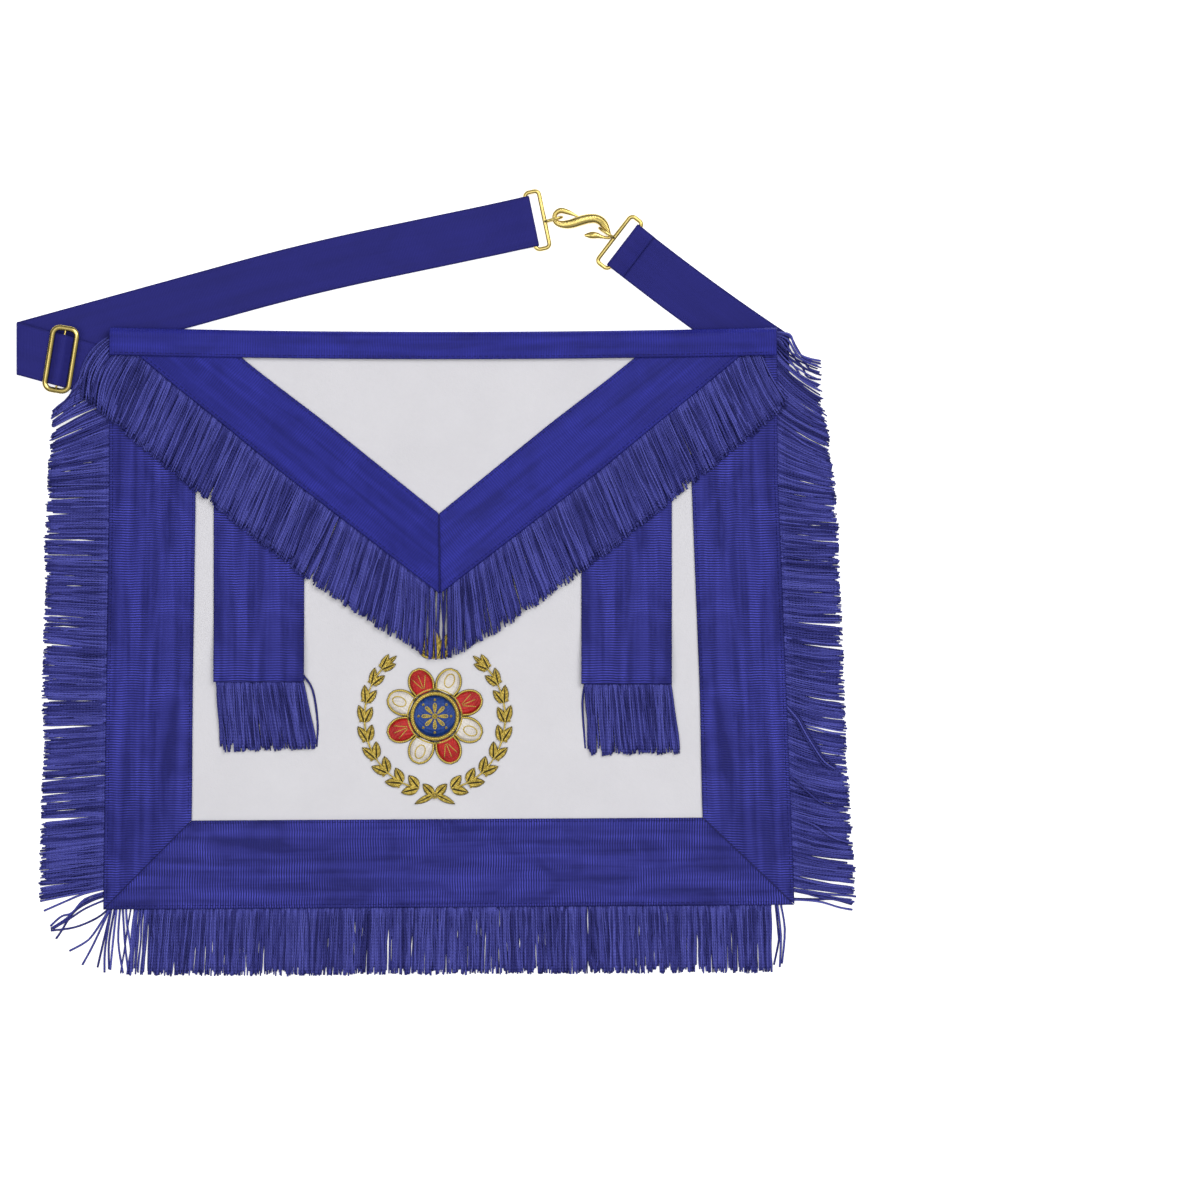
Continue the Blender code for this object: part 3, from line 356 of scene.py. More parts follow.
SerpentPoint = namedtuple("SerpentPoint", "x y radius")
SERPENT = [
    SerpentPoint(83.8, 216.4, 0.5), SerpentPoint(80.8, 217.8, 0.95),
    SerpentPoint(77.4, 219.2, 1.45), SerpentPoint(73.6, 220.1, 1.6), SerpentPoint(70.8, 218.7, 1.4),
    SerpentPoint(69.8, 216.2, 1.25), SerpentPoint(70.6, 213.6, 1.5),
    SerpentPoint(72.9, 212.1, 1.85), SerpentPoint(76.3, 211.8, 2.4), SerpentPoint(80.0, 212.3, 2.7),
    SerpentPoint(83.8, 213.6, 2.9), SerpentPoint(87.4, 214.7, 2.9), SerpentPoint(90.6, 215.3, 2.8),
    SerpentPoint(93.9, 215.3, 2.65), SerpentPoint(96.8, 214.1, 2.6), SerpentPoint(99.0, 211.9, 2.4),
    SerpentPoint(100.7, 209.0, 1.7), SerpentPoint(102.1, 206.4, 0.9),
    SerpentPoint(102.6, 204.6, 0.8), SerpentPoint(101.2, 204.0, 0.8),
    SerpentPoint(98.8, 204.3, 0.8), SerpentPoint(96.9, 204.7, 1.1), SerpentPoint(95.1, 205.2, 1.6),
    SerpentPoint(92.8, 205.5, 2.0), SerpentPoint(90.6, 205.5, 1.8), SerpentPoint(88.7, 205.5, 1.1),
    SerpentPoint(87.4, 205.5, 0.5),
]


# Lines and curves in the plan


def smooth_step(t):
    t = min(max(t, 0.0), 1.0)
    return t * t * (3 - 2 * t)


def polar(radius, angle):
    return Vector((radius * math.cos(angle), radius * math.sin(angle)))


def left_of(way):
    """A way in the plan, turned a quarter to the left."""
    return Vector((-way.y, way.x))


def between(table, value):
    """Read a table of (value, result...) rows at a value, straight between its rows."""
    if value <= table[0][0]:
        return table[0][1:]
    for low, high in zip(table, table[1:]):
        if value <= high[0]:
            t = (value - low[0]) / (high[0] - low[0])
            return tuple(a + (b - a) * t for a, b in zip(low[1:], high[1:]))
    return table[-1][1:]


def path_length(path):
    return sum(math.dist(a, b) for a, b in zip(path, path[1:]))


def point_on_path(path, along):
    """Give the point at a distance along a path, and the path's direction there."""
    last = len(path) - 2
    for i, (a, b) in enumerate(zip(path, path[1:])):
        span = math.dist(a, b)
        if along <= span or i == last:
            direction = (Vector(b) - Vector(a)) / span
            return Vector(a) + direction * along, direction
        along -= span


def edge_x(edge, y):
    return between([(-py, px) for px, py in edge], -y)[0]


def spread(start, end, step):
    """Even places from start to end, about a step apart."""
    count = max(int(round(abs(end - start) / step)), 1)
    return [start + (end - start) * i / count for i in range(count + 1)]


def through(points, per_span):
    """Sample a smooth curve through points, each a tuple of numbers."""
    samples = []
    for i in range(len(points) - 1):
        p0 = Vector(points[max(i - 1, 0)])
        p1, p2 = Vector(points[i]), Vector(points[i + 1])
        p3 = Vector(points[min(i + 2, len(points) - 1)])
        for step in range(per_span):
            t = step / per_span
            a = 2 * p1
            b = (p2 - p0) * t
            c = (2 * p0 - 5 * p1 + 4 * p2 - p3) * t * t
            d = (3 * p1 - p0 - 3 * p2 + p3) * t ** 3
            samples.append((a + b + c + d) / 2)
    samples.append(Vector(points[-1]))
    return samples


# How the cloth lies


def belt_lift(x, y):
    """Height that the belt's ends give the waistband and the leather at the top corners."""
    lift = 0.0
    for corner in (BELT_UNDER_LEFT, BELT_UNDER_RIGHT):
        dx = max(corner.left - x, 0.0, x - corner.right)
        dy = max(corner.bottom - y, 0.0)
        lift += corner.height * smooth_step(1 - math.hypot(dx, dy) / CORNER_RUN)
    return lift


def ripple(x, y):
    """A slow unevenness that all the layers share, so that none cuts into the next."""
    slow = noise.noise(Vector((x / RIPPLE_SLOW[0], y / RIPPLE_SLOW[1], 3.1)))
    fine = noise.noise(Vector((x / RIPPLE_FINE[0], y / RIPPLE_FINE[1], 7.7)))
    return RIPPLE * (0.5 + 0.55 * slow + 0.18 * fine)


def drape(x, y):
    """Height of the leather's underside over the belt and the waistband's back leg."""
    band = LAYER_STEP * smooth_step((y - BAND_RISE_START) / BAND_RISE_RUN)
    return belt_lift(x, y) + band + max(ripple(x, y), 0.0)


def sag(x, y):
    """The waist edge hangs a little towards its middle."""
    half = (RIGHT_EDGE[0][0] - LEFT_EDGE[0][0]) / 2
    middle = (RIGHT_EDGE[0][0] + LEFT_EDGE[0][0]) / 2
    across = max(1 - ((x - middle) / half) ** 2, 0.0)
    return (BODY_TOP_MIDDLE - BODY_TOP) * across * smooth_step((y - SAG_START) / SAG_RUN)


def band_lift(x, y):
    """Height that the waistband's own layers are raised by, over the belt and the ripples."""
    return belt_lift(x, y) + max(ripple(x, y), 0.0)


def tab_lift(x, y):
    """The tab's hem stands a little off the leather, most of all at its left corner."""
    left = TABS["left"][0] if x < 0 else TABS["right"][0]
    low = smooth_step((TAB_LIFT_START - y) / TAB_LIFT_RUN)
    return TAB_LIFT * low * (1 - TAB_LIFT_TILT * (x - left) / TAB_WIDTH)


def tab_rise(x, y):
    """The tab climbs over its own fringe's header just above the hem."""
    return LAYER_STEP * smooth_step((TAB_RISE_START - y) / TAB_RISE_RUN) + tab_lift(x, y)


# Mesh making


class Shape:
    """Gathers vertices, faces and weave coordinates for one mesh."""

    def __init__(self):
        self.points = []
        self.faces = []
        self.weave = []
        self.slots = []
        self.edges = []

    def add(self, points, faces, weave, slot=0, edges=None):
        base = len(self.points)
        self.points.extend(points)
        self.edges.extend(edges or [FAR_FROM_EDGE] * len(points))
        for face in faces:
            self.faces.append([base + i for i in face])
            self.weave.extend(weave[i] for i in face)
            self.slots.append(slot)

    def build(self, name, materials, smooth=True):
        mesh = bpy.data.meshes.new(name)
        mesh.from_pydata([(p[0] * MM, p[1] * MM, p[2] * MM) for p in self.points], [], self.faces)
        layer = mesh.uv_layers.new(name="weave")
        flat = [value * MM for pair in self.weave for value in pair]
        layer.data.foreach_set("uv", flat)
        for material in materials:
            mesh.materials.append(material)
        edge = mesh.attributes.new("edge", "FLOAT", "POINT")
        edge.data.foreach_set("value", self.edges)
        mesh.polygons.foreach_set("material_index", self.slots)
        mesh.polygons.foreach_set("use_smooth", [smooth] * len(self.faces))
        mesh.update()
        piece = bpy.data.objects.new(name, mesh)
        bpy.context.scene.collection.objects.link(piece)
        return piece


def dress(piece, slot, *nodes):
    """Seat a finished piece on the model, in place of the solids that it stands for."""
    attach(piece, "root")
    if nodes:
        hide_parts(*nodes)
    return piece


# How a cloth's thickness is rounded off: distance from the edge, share of the thickness
EDGE_STEPS = ((0.0, 0.42), (0.22, 0.8), (0.6, 0.97), (1.1, 1.0))
EDGE_ZONE = 1.6
FAR_FROM_EDGE = 20.0


def add_slab(shape, place, across, along, width, length, thickness, slot=0):
    """Close a cloth of a given thickness round the middle surface place(u, v), u and v in mm."""
    def with_edges(places, size):
        """Add lines near both edges, where the cloth's thickness is rounded off."""
        inner = [p for p in places if EDGE_ZONE < p < size - EDGE_ZONE]
        low = [step for step, _ in EDGE_STEPS]
        return low + inner + [size - step for step in reversed(low)]

    def share(value, size):
        return between(EDGE_STEPS, min(value, size - value))[0]

    us, vs = with_edges(across, width), with_edges(along, length)
    rows = [[place(u, v) for u in us] for v in vs]
    columns, count = len(us), len(us) * len(vs)
    top, bottom, weave, edges = [], [], [], []
    for r, v in enumerate(vs):
        for c, u in enumerate(us):
            p = rows[r][c]
            right = rows[r][min(c + 1, columns - 1)] - rows[r][max(c - 1, 0)]
            ahead = rows[min(r + 1, len(vs) - 1)][c] - rows[max(r - 1, 0)][c]
            normal = right.cross(ahead).normalized()
            half = thickness / 2 * min(share(u, width), share(v, length))
            top.append(p + normal * half)
            bottom.append(p - normal * half)
            weave.append((u, v))
            edges.append(min(u, width - u, v, length - v))
    faces = []
    for r in range(len(vs) - 1):
        for c in range(columns - 1):
            i = r * columns + c
            faces.append((i, i + 1, i + columns + 1, i + columns))
            j = i + count
            faces.append((j, j + columns, j + columns + 1, j + 1))
    rim = list(range(columns))
    rim += [r * columns + columns - 1 for r in range(1, len(vs))]
    rim += [(len(vs) - 1) * columns + c for c in range(columns - 2, -1, -1)]
    rim += [r * columns for r in range(len(vs) - 2, 0, -1)]
    for a, b in zip(rim, rim[1:] + rim[:1]):
        faces.append((a, a + count, b + count, b))
    shape.add(top + bottom, faces, weave + weave, slot, edges + edges)


def signed_power(value, power):
    return math.copysign(abs(value) ** power, value)


def add_tube(shape, points, radii, sides, closed=False, up=Z_AXIS, flat=1.0, ridge=1.0, tag=0.0, slot=0):
    """Add a round wire or cord, of one radius or a list of them.

    The weave coordinate runs round it, and along it in mm. A ridge above 1 turns its round
    section towards a diamond with a ridge on top.
    """
    count = len(points)
    if not isinstance(radii, list):
        radii = [radii] * count
    ring, weave, run = [], [], 0.0
    for i, point in enumerate(points):
        if closed:
            tangent = points[(i + 1) % count] - points[i - 1]
        else:
            tangent = points[min(i + 1, count - 1)] - points[max(i - 1, 0)]
        side = up.cross(tangent).normalized()
        top = tangent.cross(side).normalized()
        if i:
            run += (point - points[i - 1]).length
        for k in range(sides):
            angle = TURN * k / sides
            offset = side * signed_power(math.cos(angle), ridge)
            offset += top * (signed_power(math.sin(angle), ridge) * flat)
            ring.append(point + offset * radii[i])
            weave.append((tag + k / sides, run))
    faces = []
    for i in range(count if closed else count - 1):
        j = (i + 1) % count
        for k in range(sides):
            m = (k + 1) % sides
            faces.append((i * sides + k, j * sides + k, j * sides + m, i * sides + m))
    if not closed:
        faces.append(tuple(range(sides)))
        faces.append(tuple(reversed(range((count - 1) * sides, count * sides))))
    faces = [tuple(reversed(face)) for face in faces]
    shape.add(ring, faces, weave, slot)


def add_stitches(shape, line):
    """Add a row of short sunk thread stitches along a line of points."""
    total = path_length(line)
    for i in range(int(total / STITCH_PITCH)):
        start = (i + 0.5) * STITCH_PITCH - STITCH_LENGTH / 2
        stitch = []
        for step in range(5):
            t = step / 4
            point, _ = point_on_path(line, start + STITCH_LENGTH * t)
            point = Vector(point)
            point.z += STITCH_ARCH * math.sin(math.pi * t) - STITCH_SINK
            stitch.append(point)
        radii = [STITCH_RADIUS * share for share in (0.5, 1.0, 1.08, 1.0, 0.5)]
        add_tube(shape, stitch, radii, 5)


# Materials


class Graph:
    """Short names for making and joining the nodes of a material or of the world."""

    def __init__(self, owner, shader="Principled BSDF"):
        owner.use_nodes = True
        self.owner = owner
        self.nodes = owner.node_tree.nodes
        self.links = owner.node_tree.links
        self.shader = self.nodes[shader]

    def put(self, target, value):
        if isinstance(value, bpy.types.NodeSocket):
            self.links.new(value, target)
        elif value is not None:
            target.default_value = value

    def set(self, **values):
        """Set or join inputs of the shader, with _ for a space in their names."""
        for key, value in values.items():
            self.put(self.shader.inputs[key.replace("_", " ")], value)

    def node(self, kind, **values):
        """Make a node, and set or join its inputs."""
        node = self.nodes.new("ShaderNode" + kind)
        for key, value in values.items():
            self.put(node.inputs[key.replace("_", " ")], value)
        return node

    def math(self, operation, a, b=None):
        node = self.node("Math")
        node.operation = operation
        for target, value in zip(node.inputs, (a, b)):
            self.put(target, value)
        return node.outputs[0]

    def plus(self, a, b):
        return self.math("ADD", a, b)

    def times(self, a, b):
        return self.math("MULTIPLY", a, b)

    def blend(self, a, share_a, b, share_b):
        return self.plus(self.times(a, share_a), self.times(b, share_b))

    def weave(self):
        """The piece's own weave coordinates: across and along, in metres."""
        coordinates = self.node("UVMap")
        coordinates.uv_map = "weave"
        split = self.node("SeparateXYZ", Vector=coordinates.outputs[0])
        return split.outputs["X"], split.outputs["Y"]

    def place(self):
        return self.node("TexCoord").outputs["Object"]

    def attribute(self, name):
        node = self.node("Attribute")
        node.attribute_name = name
        return node.outputs["Fac"]

    def stretch(self, x, scale_x, y, scale_y):
        """Scale two coordinates, each by its own factor, into one place to read a noise at."""
        return self.node("CombineXYZ", X=self.times(x, scale_x), Y=self.times(y, scale_y)).outputs[0]

    def noise(self, vector, scale, detail=2.0, roughness=0.5, distortion=0.0):
        node = self.node("TexNoise", Vector=vector, Scale=scale, Detail=detail)
        self.put(node.inputs["Roughness"], roughness)
        self.put(node.inputs["Distortion"], distortion)
        return node.outputs["Fac"]

    def own_tone(self, turns):
        """A random value for each thread, from the whole part of its weave coordinate."""
        node = self.node("TexWhiteNoise")
        node.noise_dimensions = "1D"
        self.put(node.inputs["W"], self.math("FLOOR", turns))
        return node.outputs[0]

    def ramp(self, value, stops):
        node = self.node("ValToRGB", Fac=value)
        elements = node.color_ramp.elements
        while len(elements) < len(stops):
            elements.new(0.5)
        for element, (position, colour) in zip(elements, stops):
            element.position = position
            element.color = (*colour, 1)
        return node.outputs["Color"]

    def remap(self, value, low, high, to_low, to_high):
        node = self.node("MapRange", Value=value, From_Min=low, From_Max=high)
        self.put(node.inputs["To Min"], to_low)
        self.put(node.inputs["To Max"], to_high)
        return node.outputs["Result"]

    def scaled(self, colour, factor):
        """Make a colour lighter or darker by a factor."""
        node = self.node("VectorMath")
        node.operation = "SCALE"
        self.put(node.inputs[0], colour)
        self.put(node.inputs["Scale"], factor)
        return node.outputs[0]

    def bump(self, height, distance, strength=1.0):
        node = self.node("Bump", Strength=strength, Distance=distance, Height=height)
        self.set(Normal=node.outputs[0])


def material_graph(name):
    return Graph(bpy.data.materials.new(name))


def ribbed_cloth(name, dark, light, pitch, ribbed, roughness, relief):
    """A ribbon with ribs across it, a lengthwise watered play of light and dark, and painted shade along
    its edges.
    """
    g = material_graph(name)
    across, along = g.weave()
    wander = g.noise(g.stretch(across, 90, along, 9), 1.0, 2.0)
    ribs = g.math("SINE", g.blend(along, TURN / pitch, wander, 7.0))
    streaks = g.noise(g.stretch(across, 190, along, 11), 1.0, 3.0, 0.55, 0.4)
    bands = g.noise(g.stretch(across, 40, along, 26), 1.0, 2.0, 0.5, 1.5)
    water = g.blend(streaks, 0.6, bands, 0.4)
    tone = g.ramp(g.remap(water, 0.36, 0.64, 0.0, 1.0), [(0.0, dark), (1.0, light)])
    depth = g.remap(bands, 0.36, 0.62, 0.25 * ribbed, ribbed)
    grain = g.noise(g.stretch(across, 1500, along, 2600), 1.0, 1.0)
    weave = g.blend(ribs, depth, grain, 0.16)
    edge = g.attribute("edge")
    # Darker near every edge of the piece: painted shade along its edges and seams.
    edge_shade = g.remap(edge, 0.5, 1.4, 0.74, 1.0)
    g.set(Base_Color=g.scaled(tone, g.times(g.plus(weave, 0.92), edge_shade)))
    g.set(Roughness=g.remap(water, 0.3, 0.7, roughness - 0.05, roughness + 0.08))
    groove = g.math("ABSOLUTE", g.plus(edge, -STITCH_INSET))
    g.bump(g.plus(ribs, g.remap(groove, 0.0, 0.5, -1.6, 0.0)), relief)
    g.set(Sheen_Weight=0.06, Sheen_Roughness=0.4, Sheen_Tint=(*light, 1), Specular_IOR_Level=0.15)
    return g.owner


def cord_cloth(name, dark, middle, light, relief=0.00012):
    """Twisted cord: slanting plies, each cord a little lighter or darker at random, with painted shade
    on its sides and over whole tufts.
    """
    g = material_graph(name)
    around, along = g.weave()
    turns = g.times(around, 1 / MM)
    twist = g.math("SINE", g.blend(turns, 2 * TURN, along, TURN / CORD_TWIST))
    # Slow bands a few cords wide: painted shade over the tufts, blended below with each cord's own
    # random tone.
    tuft_shade = g.noise(g.stretch(turns, 0.37, along, 60), 1.0, 2.0)
    tone = g.blend(g.own_tone(turns), 0.6, tuft_shade, 0.4)
    # Each cord darker towards its sides: painted shade in the grooves between the cords.
    side_shade = g.remap(g.math("SINE", g.times(turns, TURN)), -0.1, 0.9, 0.18, 1.0)
    shade = g.times(g.plus(g.times(twist, 0.13), 0.95), side_shade)
    g.set(Base_Color=g.scaled(g.ramp(tone, [(0.18, dark), (0.42, middle), (0.85, light)]), shade))
    g.bump(twist, relief)
    g.set(Roughness=0.55, Specular_IOR_Level=0.16)
    return g.owner


def leather_cloth():
    g = material_graph("lambskin")
    spot = g.place()
    mottle = g.noise(spot, 28.0, 4.0, 0.6)
    pores = g.node("TexVoronoi", Vector=spot, Scale=1300.0)
    crease = g.noise(spot, 420.0, 3.0, 0.6, 0.6)
    tone = g.ramp(mottle, [(0.25, (0.69, 0.68, 0.715)), (0.75, (0.735, 0.725, 0.76))])
    g.set(Base_Color=g.scaled(tone, g.remap(crease, 0.2, 0.8, 0.985, 1.01)))
    g.set(Roughness=g.remap(mottle, 0.2, 0.8, 0.46, 0.6))
    g.bump(g.plus(g.times(pores.outputs["Distance"], 0.5), crease), 0.00012, 0.7)
    g.set(Specular_IOR_Level=0.35, Sheen_Weight=0.08, Sheen_Roughness=0.5)
    return g.owner


def gilt_metal():
    g = material_graph("gilt_brass")
    spot = g.place()
    wear = g.noise(spot, 90.0, 3.0, 0.5)
    brush = g.noise(spot, 1500.0, 2.0, 0.5)
    g.set(Base_Color=g.ramp(wear, [(0.3, (0.50, 0.38, 0.085)), (0.7, (0.70, 0.545, 0.17))]))
    g.set(Roughness=g.remap(wear, 0.3, 0.7, 0.14, 0.22))
    g.bump(brush, 0.00001, 0.2)
    g.set(Metallic=1.0, Coat_Weight=0.6, Coat_Roughness=0.06, Coat_IOR=1.6)
    return g.owner


def bullion_thread(name, dark, light, pitch, metallic, roughness):
    """Coiled or laid thread: fine rings round each cord."""
    g = material_graph(name)
    around, along = g.weave()
    turns = g.times(around, 1 / MM)
    coil = g.math("SINE", g.blend(along, TURN / pitch, turns, COIL_SLANT))
    tone = g.blend(g.own_tone(turns), 0.7, coil, 0.25)
    g.set(Base_Color=g.ramp(tone, [(0.0, dark), (0.8, light)]))
    g.bump(coil, 0.00008, 0.9)
    g.set(Metallic=metallic, Roughness=roughness)
    return g.owner


RIBBON_BLUE = ribbed_cloth(
    "moire_ribbon", (0.0145, 0.0155, 0.152), (0.044, 0.047, 0.330), RIBBON_RIB, 0.75, 0.5, 0.0001
)
SMOOTH_BLUE = ribbed_cloth(
    "smooth_ribbon", (0.0125, 0.0140, 0.184), (0.026, 0.029, 0.310), RIBBON_RIB, 0.22, 0.5, 0.00006
)
BELT_BLUE = ribbed_cloth(
    "grosgrain_belt", (0.0165, 0.0165, 0.166), (0.0220, 0.0220, 0.202), BELT_RIB, 0.10, 0.62, 0.00004
)
CORD_BLUE = cord_cloth(
    "twisted_cord", (0.019, 0.020, 0.140), (0.047, 0.050, 0.282), (0.112, 0.120, 0.520)
)
# Dark blue thread for the stitches, also laid along the seams as painted shade in their gaps.
THREAD_AND_SEAM_SHADE_BLUE = cord_cloth(
    "thread_and_seam_shade", (0.012, 0.012, 0.10), (0.016, 0.016, 0.12), (0.022, 0.022, 0.16), 0.00003
)
LAMBSKIN = leather_cloth()
GILT = gilt_metal()
GOLD = bullion_thread("gold_bullion", (0.36, 0.25, 0.03), (0.90, 0.70, 0.16), GOLD_COIL, 0.65, 0.34)
RED = bullion_thread("red_satin", (0.42, 0.010, 0.010), (0.68, 0.028, 0.026), SATIN_COIL, 0.0, 0.38)
IVORY = bullion_thread("ivory_satin", (0.73, 0.68, 0.64), (0.90, 0.86, 0.81), SATIN_COIL, 0.0, 0.4)
BLUE = bullion_thread("blue_satin", (0.008, 0.040, 0.22), (0.020, 0.085, 0.38), SATIN_COIL, 0.0, 0.38)
DARK = bullion_thread(
    "outline_thread", (0.012, 0.010, 0.008), (0.03, 0.024, 0.016), SATIN_COIL, 0.0, 0.55
)


# Leather and ribbons


def on_cloth(x, y, level):
    """A point at a level above the leather's underside."""
    return Vector((x, y + sag(x, y), drape(x, y) + level))


def lay_panel(name, node, slot, material, corner, across, along, level, thickness, weave, rise=None):
    """Lay a four-sided cloth: corner(u, v) turns shares of the width and length into the plan.

    weave(u, v) gives its weave coordinates in mm, shifted so that no two cloths have the same play.
    """
    def place(u, v):
        x, y = corner(u / across, v / along)
        height = level + thickness / 2 + (rise(x, y) if rise else 0.0)
        return on_cloth(x, y, height)

    shape = Shape()
    step = LEATHER_STEP if material is LAMBSKIN else RIBBON_STEP
    add_slab(shape, place, spread(0, across, step), spread(0, along, step), across, along, thickness)
    shape.weave = [weave(u / across, v / along) for u, v in shape.weave]
    piece = shape.build(name, [material])
    return dress(piece, slot, node)


def side_strip(edge, sign, mitre):
    """Plan of a side ribbon from the waist down to its mitre, as shares of width and length."""
    outer, inner = mitre
    edge_shift = GAP * 0.8

    def corner(u, v):
        foot = outer.lerp(inner, u)
        y = LAYERS_TOP + (foot.y + edge_shift - LAYERS_TOP) * v
        x = edge_x(edge, y) + sign * RIBBON_WIDTH * u
        near = smooth_step((v - 0.7) / 0.3)
        return x + (foot.x - (edge_x(edge, foot.y) + sign * RIBBON_WIDTH * u)) * near, y

    return corner


def make_body():
    inset = FRINGE_HEADER + GAP
    foot_left = MITRE_LEFT[0] + Vector((inset, inset))
    foot_right = MITRE_RIGHT[0] + Vector((-inset, inset))

    def leather(u, v):
        left_y = LAYERS_TOP + (foot_left.y - LAYERS_TOP) * v
        right_y = LAYERS_TOP + (foot_right.y - LAYERS_TOP) * v
        left = Vector((edge_x(LEFT_EDGE, left_y) + inset, left_y))
        right = Vector((edge_x(RIGHT_EDGE, right_y) - inset, right_y))
        return left.lerp(right, u)

    width, length = BODY_SIZE
    piece = lay_panel(
        "leather_body", "body_panel", "leather", LAMBSKIN, leather, width, length,
        0.0, LEATHER, lambda u, v: (width * u, length * v),
    )

    pieces = {}
    for side, edge, sign, mitre in (
        ("left", LEFT_EDGE, 1, MITRE_LEFT),
        ("right", RIGHT_EDGE, -1, MITRE_RIGHT),
    ):
        corner = side_strip(edge, sign, mitre)

        def weave(u, v, corner=corner, edge=edge, sign=sign):
            x, y = corner(u, v)
            return sign * (x - edge_x(edge, y)), 200 - y

        pieces[side] = lay_panel(
            "border_" + side, "ribbon_" + side, "ribbon", RIBBON_BLUE, corner,
            RIBBON_WIDTH, SIDE_RIBBON, RIBBON_LEVEL, RIBBON, weave,
        )

    def bottom(u, v):
        outer = MITRE_LEFT[0].lerp(MITRE_RIGHT[0], v)
        inner = MITRE_LEFT[1].lerp(MITRE_RIGHT[1], v)
        return outer.lerp(inner, u)

    width, length = BOTTOM_RIBBON
    pieces["bottom"] = lay_panel(
        "border_bottom", "ribbon_bottom", "ribbon", RIBBON_BLUE, bottom, width, length,
        RIBBON_LEVEL, RIBBON, lambda u, v: (width * u, 400 + bottom(u, v)[0]),
    )
    return pieces


def make_flap():
    inset = (FRINGE_HEADER + GAP) / math.cos(FLAP_LEAN)
    left_line = sorted((y, x + inset) for x, y in FLAP_LEFT)
    right_line = sorted((y, x - inset) for x, y in FLAP_RIGHT)

    def leather(u, v):
        y = LAYERS_TOP + (FLAP_FOOT - LAYERS_TOP) * v
        left, right = between(left_line, y)[0], between(right_line, y)[0]
        if right - left < FLAP_TIP[1] - FLAP_TIP[0]:
            left, right = FLAP_TIP
        return left + (right - left) * u, y

    panel = lay_panel(
        "leather_flap", "flap_panel", "leather", LAMBSKIN, leather, *FLAP_SIZE,
        FLAP_LEVEL, LEATHER, leather,
    )

    pieces = {}
    for side, outer, inner in (
        ("left", FLAP_LEFT, FLAP_INNER_LEFT),
        ("right", FLAP_RIGHT, FLAP_INNER_RIGHT),
    ):
        heading = (Vector(outer[-1]) - Vector(outer[0])).normalized()
        normal = left_of(heading)

        def corner(u, v, outer=outer, inner=inner):
            edge, _ = point_on_path(outer, v * path_length(outer))
            seam, _ = point_on_path(inner, v * path_length(inner))
            return edge.lerp(seam, u)

        def weave(u, v, corner=corner, heading=heading, normal=normal):
            p = corner(u, v)
            return 100 + p.dot(normal), 300 + p.dot(heading)

        pieces[side] = lay_panel(
            "flap_border_" + side, "flap_ribbon_" + side, "ribbon", SMOOTH_BLUE, corner,
            *FLAP_RIBBON_SIZE, FLAP_RIBBON_LEVEL, RIBBON, weave,
        )
    return pieces


def make_tabs():
    pieces = {}
    for side, (left, hem) in TABS.items():
        def corner(u, v, left=left, hem=hem):
            return left + TAB_WIDTH * u, LAYERS_TOP + (hem - LAYERS_TOP) * v

        pieces[side] = lay_panel(
            "hanging_tab_" + side, "tab_" + side, "ribbon", RIBBON_BLUE, corner,
            TAB_WIDTH, LAYERS_TOP - hem, RIBBON_LEVEL, RIBBON,
            lambda u, v, corner=corner: (TAB_WIDTH * u, 200 - corner(u, v)[1]),
            tab_rise,
        )
    return pieces


def make_waistband():
    """Fold a ribbon over the top edge: back leg, round turn and front leg."""
    height = BAND_HOLLOW + LAYER_STEP + RIBBON
    radius = height / 2 - RIBBON / 2
    turn_y = BODY_TOP - RIBBON / 2 - radius
    bottom_y = BODY_TOP - BAND_HEIGHT
    leg = turn_y - bottom_y
    arc = math.pi * radius
    length = 2 * leg + arc
    start, end = LEFT_EDGE[0][0], RIGHT_EDGE[0][0]

    def place(u, v):
        x = start + v
        if u < leg:
            y, z = turn_y - leg + u, RIBBON / 2
        elif u < leg + arc:
            angle = (u - leg) / radius - math.pi / 2
            y, z = turn_y + radius * math.cos(angle), height / 2 + radius * math.sin(angle)
        else:
            y, z = turn_y - (u - leg - arc), height - RIBBON / 2
        return Vector((x, y + sag(x, y), z + band_lift(x, y)))

    shape = Shape()
    across = spread(0, leg, 3.0) + spread(leg, leg + arc, 1.0)[1:]
    across += spread(leg + arc, length, 2.0)[1:]
    add_slab(shape, place, across, spread(0, end - start, 3.0), length, end - start, RIBBON)
    piece = shape.build("waist_ribbon", [SMOOTH_BLUE])
    piece.data.flip_normals()
    dress(piece, "ribbon", "waistband")
    return piece


# Sewing: tone on tone stitches, and dark threads along the seams that also paint the shade in the seam
# gaps


def beside(path, off, first, last):
    """A line at an offset to the left of a path, between two distances along it."""
    line = []
    for along in spread(first, last, 4.0):
        point, direction = point_on_path(path, along)
        line.append(point + left_of(direction) * off)
    return line


